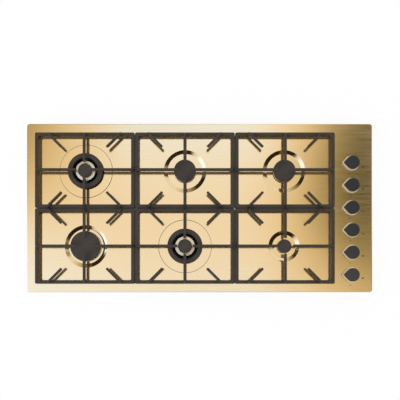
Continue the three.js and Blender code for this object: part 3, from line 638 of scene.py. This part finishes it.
class COOKTOP_OT_supports(bpy.types.Operator):
    """Make the six cast pan supports: a frame on four feet, with eight raised fingers"""

    bl_idname = "cooktop.supports"
    bl_label = "Pan supports"

    def frame(self, bm, half, radius):
        """The flat frame: two rounded rectangles bridged, raised and rounded on all long edges."""
        bottom = PLATE_TOP + SUPPORT.bar_top - SUPPORT.bar_height
        loops = []
        for inset in (0, SUPPORT.bar_width):
            rectangle(bm, half.x - inset, half.y - inset, bottom, SUPPORT.corner, 6)
            face = bm.faces[:][-1]
            loops += face.edges[:]
            bmesh.ops.delete(bm, geom=[face], context="FACES_ONLY")
        ring = bmesh.ops.bridge_loops(bm, edges=loops)["faces"]
        extruded(bm, ring, (0, 0, SUPPORT.bar_height), use_keep_orig=True)
        outwards(bm)
        eased(bm, bm.verts[:], radius * 1.6)

    def finger(self, bm, turn, tip, reach, width, bar, radius):
        """A finger from its tip to the frame, on its gusset, turned about the burner's axis."""
        top = PLATE_TOP + SUPPORT.finger_top
        under = top - SUPPORT.finger_height
        seat = PLATE_TOP + SUPPORT.bar_top - SUPPORT.bar_height / 2
        end = reach - SUPPORT.end
        half, chamfer = width / 2, SUPPORT.chamfer
        section = [
            (-half, under), (half, under), (half, top - chamfer), (half - chamfer, top),
            (chamfer - half, top), (-half, top - chamfer),
        ]
        bar_verts = prism(bm, [(tip, y, z) for y, z in section], (end - tip, 0, 0))
        for vert in bar_verts:
            depth = top - vert.co.z
            if vert.co.x < (tip + end) / 2:
                vert.co.x += depth * TIP_SLOPE
            else:
                vert.co.x -= SUPPORT.end_slope * (1 - depth / SUPPORT.finger_height)
        verts = eased(bm, bar_verts, radius)
        web = [
            (reach - bar - SUPPORT.gusset, under + MM), (reach - bar, seat), (end, seat),
            (end, under + MM),
        ]
        inset = SUPPORT.gusset_inset
        brace = prism(bm, [(x, half - inset, z) for x, z in web], (0, 2 * inset - width, 0))
        verts += eased(bm, brace, radius)
        swing(bm, verts, turn)

    def execute(self, context):
        colours, radius = context.scene.cooktop_colours, context.scene.cooktop_sizes.cast_radius
        # The undersides take a paler copy of the enamel: painted bounce light in their mirror
        # images
        materials = [
            enamel("cast_iron_matt_enamel", colours.charcoal, 1.6 * MM, 0.42, 0.2 * MM, 0.3),
            enamel("cast_iron_enamel_painted_bounce_light", colours.painted_light_underside, 1.6 * MM, 0.6, 0.2 * MM, 0.3),
        ]
        low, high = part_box(f"pan_support_{SITES[0]}")
        half = (high - low).to_2d() / 2
        bar, root_two = SUPPORT.bar_width, math.sqrt(2)
        bm = bmesh.new()
        self.frame(bm, half, radius)
        for quarter in range(4):
            turn = quarter * QUARTER_TURN
            reach = half.y if quarter % 2 else half.x
            self.finger(bm, turn, SUPPORT.tip, reach, SUPPORT.finger_width, bar, radius)
            self.finger(
                bm, turn + math.pi / 4, SUPPORT.diagonal_tip * root_two, half.y * root_two,
                SUPPORT.diagonal_width, bar * root_two, radius,
            )
        foot_high = PLATE_TOP + SUPPORT.bar_top - SUPPORT.bar_height + MM
        for sx, sy in ((1, 1), (-1, 1), (-1, -1), (1, -1)):
            foot = bmesh.ops.create_cone(
                bm, cap_ends=True, segments=24, radius1=SUPPORT.foot_bottom,
                radius2=SUPPORT.foot_top, depth=foot_high - low.z,
                matrix=Matrix.Translation((
                    sx * (half.x - bar / 2), sy * (half.y - bar / 2), (foot_high + low.z) / 2,
                )),
            )["verts"]
            eased(bm, foot, radius)
        united(bm)
        # Faces that look down take the paler enamel: painted light, seen mirrored in the sheet
        for face in bm.faces:
            face.material_index = int(face.normal.z < DOWNWARD)
        shape = bpy.data.meshes.new("support_shape")
        bm.to_mesh(shape)
        bm.free()
        for site in SITES:
            bm = bmesh.new()
            bm.from_mesh(shape)
            move(bm, AXES[site])
            name = f"support_{site}"
            finished(bm, name, materials, name, [f"pan_support_{site}"])
        bpy.data.meshes.remove(shape)
        return {"FINISHED"}


class COOKTOP_OT_caps(bpy.types.Operator):
    """Turn the burner caps and the ring caps of the two large burners"""

    bl_idname = "cooktop.caps"
    bl_label = "Burner caps"

    def execute(self, context):
        sizes, colours = context.scene.cooktop_sizes, context.scene.cooktop_colours
        coat = enamel("pressed_steel_matt_enamel", colours.cap, 0.9 * MM, 0.52, 0.08 * MM, 0.3)
        for site in SITES:
            node = f"burner_cap_{site}"
            low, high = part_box(node)
            radius = (high.x - low.x) / 2
            bottom = low.z + CAP.spigot
            spigot = (WOK.cap if KINDS[site] == "wok" else radius) * 0.5
            outline = [(0, low.z), *rounded([
                (spigot / 2, low.z), (spigot, low.z), (spigot, bottom), (radius, bottom),
                (radius, high.z - CAP.rim), (radius - CAP.slope, high.z - CAP.brow),
                (radius * 0.45, high.z - CAP.dome),
            ], CAP.bend), (0, high.z)]
            name = f"cap_{site}"
            turned_piece(outline, sizes.segments, AXES[site], name, coat, name, node)
        inner, outer = WOK.ring_inner, WOK.ring_outer
        for site in (site for site in SITES if KINDS[site] == "wok"):
            node = f"ring_cap_{site}"
            low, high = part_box(node)
            wall, slope = low.z + WOK.ring_wall, WOK.ring_slope
            outline = rounded_loop([
                (inner, low.z), (outer, low.z), (outer, wall), (outer - slope, high.z),
                (inner + slope, high.z), (inner, wall),
            ], WOK.ring_bend)
            name = f"ring_{site}"
            turned_piece(
                outline, sizes.segments, AXES[site], name, coat, name, node, True,
            )
        return {"FINISHED"}


def crown_ring(bm, outline, inner, outer, sill, top, ports, steps, start=0.0, sweep=FULL_TURN):
    """Spins a crown's wall up to the sill of its ports, then raises the teeth between them."""
    segments = round(ports * steps * sweep / FULL_TURN)
    before = set(bm.faces)
    turned(bm, outline, segments, start, sweep, closed=True)
    bmesh.ops.remove_doubles(bm, verts=bm.verts[:], dist=WELD)
    teeth = []
    for face in bm.faces:
        centre = face.calc_center_median()
        reach = centre.to_2d().length
        if face in before or abs(centre.z - sill) > 10 * WELD or not inner < reach < outer:
            continue
        turn = (math.atan2(centre.y, centre.x) - start) % FULL_TURN
        if int(turn / sweep * segments + 0.001) % steps:
            teeth.append(face)
    outwards(bm)
    extruded(bm, teeth, (0, 0, top - sill))
    bmesh.ops.delete(bm, geom=teeth, context="FACES")


class COOKTOP_OT_spreaders(bpy.types.Operator):
    """Turn the flame spreaders and cut their ports"""

    bl_idname = "cooktop.spreaders"
    bl_label = "Flame spreaders"

    def single(self, bm, site):
        """A small, medium or large crown: one ring of ports over a spigot."""
        crown, _, body, _ = burner_radii(site)
        seat = seat_of(site)
        chamber = crown - CROWN.wall
        spigot = body - CUP_WALL - FIT
        top = seat + CROWN.height
        sill = top - CROWN.port
        foot = seat - CROWN.spigot
        outline = [
            (spigot - CUP_WALL, foot), (spigot, foot), (spigot, seat), (crown, seat),
            (crown, sill), (chamber, sill),
        ]
        crown_ring(bm, outline, chamber, crown, sill, top, PORTS[KINDS[site]], 3)

    def double(self, bm, site):
        """A wok burner's crown: an outer ring, notched for its sensors, and an inner one."""
        crown, _, _, _ = burner_radii(site)
        seat = seat_of(site)
        chamber = crown - CROWN.wall
        top = seat + WOK.crown
        sill = top - CROWN.port
        outline = [(chamber, seat), (crown, seat), (crown, sill), (chamber, sill)]
        notch = CROWN.notch / crown
        for turn in SENSOR_TURNS.values():
            crown_ring(
                bm, outline, chamber, crown, sill, top, PORTS["wok"], 4,
                turn + notch / 2, math.pi - notch,
            )
        top = seat + WOK.inner_crown
        sill = top - WOK.inner_port
        inner, outer = WOK.cap - WOK.overhang, WOK.shoulder
        throat = inner - CROWN.wall
        shoulder = seat + WOK.shoulder_top
        outline = [
            (throat, seat), (outer, seat), (outer, shoulder - WOK.shoulder_slope),
            (inner, shoulder), (inner, sill), (throat, sill),
        ]
        crown_ring(bm, outline, throat, inner, sill, top, PORTS["wok_inner"], 3)
        half = WOK.bridge / 2
        for turn in range(4):
            bar = box(bm, (outer - MM, -half, seat), (chamber + MM, half, seat + WOK.web))
            swing(bm, bar, turn * QUARTER_TURN)
        for face in bm.faces:
            if face.calc_center_median().to_2d().length > outer - FIT:
                face.material_index = 1

    def execute(self, context):
        colours = context.scene.cooktop_colours
        black = enamel("blackened_casting", colours.blackened, 0.8 * MM, 0.6, 0.06 * MM)
        for site in SITES:
            bm = bmesh.new()
            (self.double if KINDS[site] == "wok" else self.single)(bm, site)
            move(bm, AXES[site])
            closed_mesh(bm)
            bright = turned_aluminium(colours.aluminium, AXES[site], f"turned_aluminium_{site}")
            finished(
                bm, f"spreader_{site}", [bright, black], "root",
                [f"flame_spreader_{site}"], sharp=math.radians(24),
            )
        return {"FINISHED"}


class COOKTOP_OT_cups(bpy.types.Operator):
    """Make the burner cups, each with its injector holder, supply tube and sensors"""

    bl_idname = "cooktop.cups"
    bl_label = "Burner cups"

    def tube(self, site):
        """The supply tube: straight from its tap, round one bend and on to the injector."""
        start, end, bend = KNOB_AXES[site], AXES[site], TUBE.bend
        side = math.copysign(1, end.y - start.y)
        tap_side = start.x - TUBE.from_tap
        bm = bmesh.new()
        ring = bmesh.ops.create_circle(
            bm, cap_ends=True, segments=20, radius=TUBE.radius,
            matrix=Matrix.Translation((tap_side, start.y, GAS_LINE))
            @ Matrix.Rotation(QUARTER_TURN, 4, "Y"),
        )["verts"]
        _, before = extruded(bm, [ring[0].link_faces[0]], (end.x + bend - tap_side, 0, 0))
        spun = bmesh.ops.spin(
            bm, geom=[before], cent=(end.x + bend, start.y + side * bend, GAS_LINE),
            axis=(0, 0, 1), angle=-side * QUARTER_TURN, steps=8,
        )["geom_last"]
        after = next(f for f in spun if isinstance(f, bmesh.types.BMFace))
        extruded(bm, [after], (0, end.y - start.y - side * bend, 0))
        bmesh.ops.delete(bm, geom=[before, after], context="FACES_ONLY")
        closed_mesh(bm)
        return bm

    def sensors(self, site, reach, flange, finishes, tip_finish, node):
        """The spark electrode and the thermocouple, standing on the cup's flange."""
        for name, turn in SENSOR_TURNS.items():
            spot = AXES[site] + Vector((math.cos(turn), math.sin(turn))) * reach
            top, thick = flange + SENSOR.height, getattr(SENSOR, name)
            neck, foot = top - SENSOR.neck, flange - CUP_FLANGE / 2
            cone, sunk = neck + SENSOR.cone, neck + SENSOR.sunk
            turned_piece([
                (0, foot), (thick, foot), (thick, neck), (thick * 0.45, cone), (0, cone),
            ], 20, spot, f"{name}_{site}", finishes[name], "root", node)
            turned_piece([
                (0, sunk), (thick * 0.4, sunk), (thick * 0.4, top - SENSOR.point),
                (thick * 0.2, top), (0, top),
            ], 16, spot, f"{name}_tip_{site}", tip_finish, "root", node)

    def execute(self, context):
        tube_metal = worked_metal("drawn_aluminium_tube", linear("B9BABB"), 0.34, (12, 300, 300))
        brass = worked_metal("turned_brass", linear("C6A968"), 0.28)
        ceramic = glazed_ceramic()
        probe_metal = worked_metal("drawn_stainless_rod", linear("9C9B98"), 0.3)
        throat = CUP.throat
        for site in SITES:
            node = f"burner_cup_{site}"
            _, flange, body, sensor = burner_radii(site)
            floor = floor_of(site)
            bottom, high = floor - CUP.depth, floor + FIT + CUP_FLANGE
            inner, inside = body - CUP_WALL, bottom + 2 * CUP_WALL
            outline = rounded_loop([
                (throat, bottom), (body, bottom + CUP_WALL), (body, floor + FIT),
                (flange, floor + FIT), (flange, high), (inner, high),
                (inner, bottom + 3 * CUP_WALL), (throat, inside),
            ], CUP.bend, 3)
            black = "blackened_casting" if KINDS[site] == "wok" else f"turned_aluminium_{site}"
            turned_piece(
                outline, context.scene.cooktop_sizes.segments, AXES[site], f"cup_{site}",
                bpy.data.materials[black], "root", node, True,
            )
            low, radius, bore = GAS_LINE - INJECTOR.below, INJECTOR.radius, INJECTOR.bore
            nozzle = inside + INJECTOR.cone
            turned_piece([
                (0, low), (radius, low), (radius, bottom), (throat, bottom), (throat, inside),
                (INJECTOR.shoulder, nozzle), (bore, nozzle), (bore, bottom), (0, bottom),
            ], 24, AXES[site], f"injector_{site}", brass, "root", node)
            finished(self.tube(site), f"supply_tube_{site}", [tube_metal], "root", [node])
            finishes = {"electrode": ceramic, "thermocouple": probe_metal}
            self.sensors(site, sensor, high, finishes, probe_metal, node)
        return {"FINISHED"}


class COOKTOP_OT_knobs(bpy.types.Operator):
    """Mould the six knobs, each drawn out to a pointer, and press their metal skirts"""

    bl_idname = "cooktop.knobs"
    bl_label = "Knobs"

    def teardrop(self, growth):
        """The outline of a circle drawn out to a pointer towards -X, grown all round."""
        radius, tip = KNOB.radius + growth, KNOB.tip + growth
        tip_x = KNOB.tip - KNOB.nose
        lean = math.acos((radius - tip) / -tip_x)
        for centre, r, start, end, steps in (
            (0, radius, lean - math.pi, math.pi - lean, 56),
            (tip_x, tip, math.pi - lean, math.pi + lean, 10),
        ):
            for i in range(steps + 1):
                angle = start + (end - start) * i / steps
                yield centre + r * math.cos(angle), r * math.sin(angle)

    def loft(self, profile, axis):
        """A closed teardrop solid through (growth, height) levels, from the bottom up. Its
        upright faces carry the piece's second finish, where it has one."""
        bm = bmesh.new()
        rings = [[bm.verts.new((x, y, z)) for x, y in self.teardrop(grow)] for grow, z in profile]
        for lower, upper in zip(rings, rings[1:]):
            for i, vert in enumerate(lower):
                bm.faces.new((lower[i - 1], vert, upper[i], upper[i - 1]))
        bm.faces.new(rings[0])
        bm.faces.new(rings[-1])
        outwards(bm)
        move(bm, axis)
        return bm

    def execute(self, context):
        colours = context.scene.cooktop_colours
        # Pressed against a polished face of the mould: a blue-black sheen that mirrors the studio
        cap_finishes = [
            moulded_plastic(
                "moulded_thermoset", colours.knob, 0.15, Specular_IOR_Level=1.0, IOR=1.6,
                Specular_Tint=linear("EAF0FF"),
            ),
            moulded_plastic(
                "moulded_thermoset_wall", colours.knob_wall, 0.6, Specular_IOR_Level=0.15,
            ),
        ]
        metal = worked_metal("plated_champagne_metal", colours.champagne, 0.4, share=0.45)
        for site in SITES:
            name, cap, skirt = f"knob_{site}", f"knob_cap_{site}", f"knob_skirt_{site}"
            low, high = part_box(skirt)
            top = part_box(cap)[1].z
            edge = rounded([(0, top - KNOB.edge), (0, top), (-KNOB.edge, top)], KNOB.bend)[1:-1]
            bm = self.loft([(0, high.z + FIT), *edge], KNOB_AXES[site])
            for face in bm.faces:
                face.material_index = int(abs(face.normal.z) < UPRIGHT)
            finished(bm, name, cap_finishes, name, [cap])
            bm = self.loft([
                (SKIRT.lip, low.z), (SKIRT.lip, low.z + SKIRT.lip_height),
                (SKIRT.lip_top, low.z + SKIRT.slope_height),
                (SKIRT.wall, low.z + SKIRT.wall_height), (SKIRT.wall, high.z),
            ], KNOB_AXES[site])
            finished(bm, f"skirt_{site}", [metal], name, [skirt])
        return {"FINISHED"}


class COOKTOP_OT_marks(bpy.types.Operator):
    """Print the plain marks by each knob: off, the high flame and the burner's place"""

    bl_idname = "cooktop.marks"
    bl_label = "Printed marks"

    def dot(self, bm, x, y, radius):
        """A thin round spot of ink."""
        bmesh.ops.create_cone(
            bm, cap_ends=True, segments=16, radius1=radius, radius2=radius, depth=MARK.ink,
            matrix=Matrix.Translation((x, y, PLATE_TOP + MARK.ink / 2)),
        )

    def execute(self, context):
        ink = bpy.data.materials["fired_screen_print"]
        for site in SITES:
            bm = bmesh.new()
            # Off: a short tick past the pointer
            half, top = MARK.tick_half, PLATE_TOP + MARK.ink
            box(bm, (-MARK.tick_start, -half, PLATE_TOP), (-MARK.tick_end, half, top))
            # The high flame: one spot in front of the knob
            self.dot(bm, -MARK.high_x, -MARK.high_y, MARK.high_radius)
            # Which burner: six spots laid out as the burners are, the knob's own one larger
            for i, other in enumerate(SITES):
                self.dot(
                    bm, MARK.plan_x + i % 3 * MARK.plan_pitch,
                    -MARK.plan_y - i // 3 * MARK.plan_pitch,
                    MARK.plan_own_dot if other == site else MARK.plan_dot,
                )
            move(bm, KNOB_AXES[site])
            closed_mesh(bm)
            finished(bm, f"marks_{site}", [ink], "root")
        return {"FINISHED"}


class COOKTOP_OT_manifold(bpy.types.Operator):
    """Make the gas manifold: a square rail on two feet, and its inlet with a pipe thread"""

    bl_idname = "cooktop.manifold"
    bl_label = "Gas manifold"

    def rail(self, axis, front, rear, bottom):
        """The rail along Y and its two feet, in one skin."""
        bm = bmesh.new()
        half = RAIL / 2
        solids = [(front, rear + MM, axis.z - half, axis.z + half)]
        for y in (front + RAIL, rear - RAIL):
            solids.append((y - half, y + half, bottom, axis.z - half + 2 * MM))
        for near, far, low, high in solids:
            eased(bm, box(bm, (axis.x - half, near, low), (axis.x + half, far, high)), RAIL_EDGE)
        united(bm)
        return bm

    def hexagon(self, axis, rear):
        """The inlet's spanner flats."""
        bm = bmesh.new()
        corners = [
            axis + Vector((math.sin(turn), 0, math.cos(turn))) * INLET.hexagon
            + Vector((0, rear, 0)) for turn in (FULL_TURN * i / 6 for i in range(6))
        ]
        solid = prism(bm, corners, (0, INLET.hexagon_length, 0))
        eased(bm, solid, INLET.hexagon_edge)
        return bm

    def thread(self, axis, start, end):
        """A tube along Y, its outside following the parallel thread's helix, half a turn a row."""
        steps, pitch, bore = 32, INLET.pitch, INLET.bore
        rows = []
        for row in range(-2, 2 * math.ceil((end - start) / pitch) + 1):
            heights = [start + pitch * (row / 2 + i / steps) for i in range(steps + 1)]
            heights = [min(max(y, start), end) for y in heights]
            depth = INLET.crest - INLET.root if row % 2 else 0
            rows.append([
                (INLET.root + depth * min(1, (end - y) / pitch, (y - start) / pitch), y)
                for y in heights
            ])
        rows += [[(bore, end)] * (steps + 1), [(bore, start)] * (steps + 1), rows[0]]
        bm = bmesh.new()
        grid = [[
            bm.verts.new((
                axis.x + radius * math.cos(FULL_TURN * i / steps), y,
                axis.z + radius * math.sin(FULL_TURN * i / steps),
            )) for i, (radius, y) in enumerate(row)
        ] for row in rows]
        for lower, upper in zip(grid, grid[1:]):
            for i in range(steps):
                bm.faces.new((lower[i], lower[i + 1], upper[i + 1], upper[i]))
        return bm

    def execute(self, context):
        metal = worked_metal("zinc_plated_steel", linear("9FA3A8"), 0.3, (300, 12, 300))
        low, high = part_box("gas_manifold")
        axis = Vector(((low.x + high.x) / 2, 0, GAS_LINE + RAIL / 4))
        neck = high.y - INLET.reach
        rear = neck - INLET.hexagon_length
        for name, bm in (
            ("manifold_rail", self.rail(axis, low.y, rear, low.z)),
            ("inlet_hexagon", self.hexagon(axis, rear)),
            ("inlet_thread", self.thread(axis, neck - MM, high.y)),
        ):
            closed_mesh(bm)
            finished(bm, name, [metal], "root", ["gas_manifold"])
        return {"FINISHED"}


class COOKTOP_OT_carried(bpy.types.Operator):
    """Give the pieces that keep the frame's own shape their finishes"""

    bl_idname = "cooktop.carried"
    bl_label = "Finishes of the kept pieces"

    def execute(self, context):
        finishes = {
            "base_tray": zinc_sheet(),
            "spark_generator": moulded_plastic("moulded_polyamide", linear("33363A"), 0.5),
        }
        brass = bpy.data.materials["turned_brass"]
        steel = worked_metal("turned_steel", linear("A9A9AA"), 0.3)
        for site in SITES:
            finishes[f"tap_body_{site}"] = brass
            finishes[f"tap_plug_{site}"] = brass
            finishes[f"tap_spindle_{site}"] = steel
        for node, material in finishes.items():
            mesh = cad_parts[node].data
            mesh.materials.clear()
            mesh.materials.append(material)
        return {"FINISHED"}


# ------ stage


class COOKTOP_OT_stage(bpy.types.Operator):
    """Set the floor, the lamps, the surroundings and the camera"""

    bl_idname = "cooktop.stage"
    bl_label = "Stage"

    def floor(self):
        """A plain white floor that keeps a faint shadow."""
        bm = bmesh.new()
        bmesh.ops.create_grid(bm, x_segments=1, y_segments=1, size=FLOOR_SIZE)
        mesh = bpy.data.meshes.new("floor")
        bm.to_mesh(mesh)
        bm.free()
        floor = placed("floor", mesh)
        floor.location.z = -0.5 * MM
        material, tree, _ = new_material("white_floor")
        path = add(tree, "LightPath").outputs
        rays = path["Is Camera Ray"], path["Is Glossy Ray"]
        seen = add(tree, "Math", rays, operation="MAXIMUM")
        share = add(tree, "Math", (seen, FLOOR_GLOW), operation="MULTIPLY")
        glow = add(tree, "Emission", {"Color": WHITE, "Strength": 1.0})
        matt = add(tree, "BsdfDiffuse", {"Color": linear("F6F6F6")})
        mixed = add(tree, "MixShader", (share, matt, glow))
        tree.nodes.remove(tree.nodes["Principled BSDF"])
        feed(tree, tree.nodes["Material Output"], {"Surface": mixed})
        mesh.materials.append(material)

    def overhead(self, tree, across, back):
        """The ceiling over the plate: shade grows to the right, to the rear left, and in a soft
        band across the middle."""
        offset = add(tree, "Math", (back, 0.075), operation="SUBTRACT")
        offset = add(tree, "Math", (offset, 0.135), operation="DIVIDE")
        square = add(tree, "Math", (offset, offset), operation="MULTIPLY")
        fades = {}
        for name, inputs, curve in (
            ("band", (square, 0.0, 1.0, 0.27, 0.0), "LINEAR"),
            ("right", (across, 0.056, 0.25, 0.0, 1.0), "SMOOTHSTEP"),
            ("right_rear", (back, -0.02, 0.23, 0.42, 0.91), "LINEAR"),
            ("left", (across, -0.1, -0.24, 0.0, 1.0), "LINEAR"),
            ("left_rear", (back, 0.045, 0.21, -0.12, 0.65), "LINEAR"),
        ):
            fades[name] = add(tree, "MapRange", inputs, interpolation_type=curve)
        shade = fades["band"]
        for side in ("left", "right"):
            rear = fades[f"{side}_rear"]
            shade = add(tree, "Math", (fades[side], rear, shade), operation="MULTIPLY_ADD")
        return ramp_stops(add(tree, "ValToRGB", [shade]), [
            (0.0, (1.06, 1.34, 2.1, 1)), (0.12, (1.1, 1.22, 1.6, 1)),
            (0.3, (1.07, 1.03, 1.05, 1)), (0.42, (1.0, 0.91, 0.77, 1)),
            (0.55, (0.84, 0.7, 0.49, 1)), (0.73, (0.4, 0.35, 0.18, 1)),
            (0.9, (0.1, 0.09, 0.04, 1)), (1.0, (0.04, 0.035, 0.015, 1)),
        ])

    def panels(self, tree, look):
        """The ring of softer and darker panels round the ceiling, by compass direction."""
        turn = add(tree, "Math", (look["Y"], look["X"]), operation="ARCTAN2")
        compass = add(tree, "MapRange", (turn, -math.pi, math.pi))
        cream, tan, olive = (1.0, 1.04, 1.15, 1), (0.78, 0.75, 0.68, 1), (0.42, 0.37, 0.22, 1)
        dark, white = (0.02, 0.012, 0.004, 1), (1.3, 1.6, 2.6, 1)
        return ramp_stops(add(tree, "ValToRGB", [compass]), [
            (0.06, white), (0.09, cream), (0.125, cream), (0.165, dark), (0.51, dark),
            (0.545, cream), (0.69, cream), (0.74, tan), (0.785, olive), (0.83, dark),
            (0.94, dark), (0.965, white),
        ])

    def surroundings(self, scene):
        """A white studio. Glossy surfaces also see its ceiling straight above, panels from 15 to
        40 degrees off the zenith, and pale walls below them."""
        world = scene.world or bpy.data.worlds.new("studio")
        scene.world = world
        world.use_nodes = True
        tree = world.node_tree
        tree.nodes.clear()
        view = add(tree, "TexCoord").outputs["Generated"]
        look = add(tree, "SeparateXYZ", [view]).outputs
        height = add(tree, "Math", (look["Z"], 0.02), operation="MAXIMUM")
        across, back = (
            add(tree, "Math", (look[axis], height), operation="DIVIDE") for axis in "XY"
        )
        edges = []
        for value, centre, start, end in ((across, 0, 0.262, 0.285), (back, 0.0875, 0.1625, 0.19)):
            apart = add(tree, "Math", (value, centre), operation="SUBTRACT")
            apart = add(tree, "Math", [apart], operation="ABSOLUTE")
            edges.append(add(tree, "MapRange", (apart, start, end)))
        outer = add(tree, "Math", edges, operation="MAXIMUM")
        far = add(tree, "MapRange", (look["Z"], 0.81, 0.73))
        path = add(tree, "LightPath").outputs
        walls, matt_light = (0.8, 0.8, 0.8, 1), (0.82, 0.82, 0.82, 1)
        shown = self.overhead(tree, across, back)
        for factor, other in (
            (outer, self.panels(tree, look)), (far, walls), (path["Is Glossy Ray"], matt_light),
            (path["Is Camera Ray"], WHITE),
        ):
            first, second = (other, shown) if other is matt_light else (shown, other)
            shown = add(tree, "Mix", {"Factor": factor, A: first, B: second}, data_type="RGBA")
        light = add(tree, "Background", {"Color": shown, "Strength": 1.0})
        add(tree, "OutputWorld", {"Surface": light})

    def execute(self, context):
        scene = context.scene
        scene.view_settings.view_transform = "Standard"
        self.floor()
        self.surroundings(scene)
        for name, (place, size, power) in LAMPS.items():
            lamp = bpy.data.lights.new(name, "AREA")
            lamp.shape, lamp.size, lamp.energy = "DISK", size, power
            holder = placed(name, lamp)
            holder.visible_glossy = False
            holder.location = place
            holder.rotation_euler = (-Vector(place)).to_track_quat("-Z", "Y").to_euler()
        # Straight down, from in front of the middle, shifted so that the plate sits centred
        camera = bpy.data.cameras.new("camera")
        camera.lens, camera.sensor_width, camera.clip_end = CAMERA_LENS, 36, 50
        camera.shift_x, camera.shift_y = CAMERA_SHIFT
        scene.camera = placed("camera", camera)
        scene.camera.location = (0, CAMERA_FRONT, PLATE_TOP + CAMERA_HEIGHT)
        return {"FINISHED"}


# ------ panel and registration


class COOKTOP_PT_panel(bpy.types.Panel):
    """The cooktop's pieces and settings"""

    bl_idname = "COOKTOP_PT_panel"
    bl_label = "Gas cooktop"
    bl_space_type = "VIEW_3D"
    bl_region_type = "UI"
    bl_category = "Cooktop"

    def draw(self, context):
        for settings in (context.scene.cooktop_sizes, context.scene.cooktop_colours):
            column = self.layout.column()
            for name in settings.__annotations__:
                column.prop(settings, name)
        for operator in OPERATORS:
            self.layout.operator(operator.bl_idname)


OPERATORS = (
    COOKTOP_OT_plate, COOKTOP_OT_supports, COOKTOP_OT_caps, COOKTOP_OT_spreaders,
    COOKTOP_OT_cups, COOKTOP_OT_knobs, COOKTOP_OT_marks, COOKTOP_OT_manifold,
    COOKTOP_OT_carried, COOKTOP_OT_stage,
)
CLASSES = (CooktopSizes, CooktopColours, *OPERATORS, COOKTOP_PT_panel)


def register():
    for cls in CLASSES:
        bpy.utils.register_class(cls)
    bpy.types.Scene.cooktop_sizes = bpy.props.PointerProperty(type=CooktopSizes)
    bpy.types.Scene.cooktop_colours = bpy.props.PointerProperty(type=CooktopColours)


def unregister():
    del bpy.types.Scene.cooktop_colours
    del bpy.types.Scene.cooktop_sizes
    for cls in reversed(CLASSES):
        bpy.utils.unregister_class(cls)


def main():
    register()
    bpy.ops.cooktop.plate()
    bpy.ops.cooktop.supports()
    bpy.ops.cooktop.caps()
    bpy.ops.cooktop.spreaders()
    bpy.ops.cooktop.cups()
    bpy.ops.cooktop.knobs()
    bpy.ops.cooktop.marks()
    bpy.ops.cooktop.manifold()
    bpy.ops.cooktop.carried()
    bpy.ops.cooktop.stage()


if __name__ == "__main__":
    main()
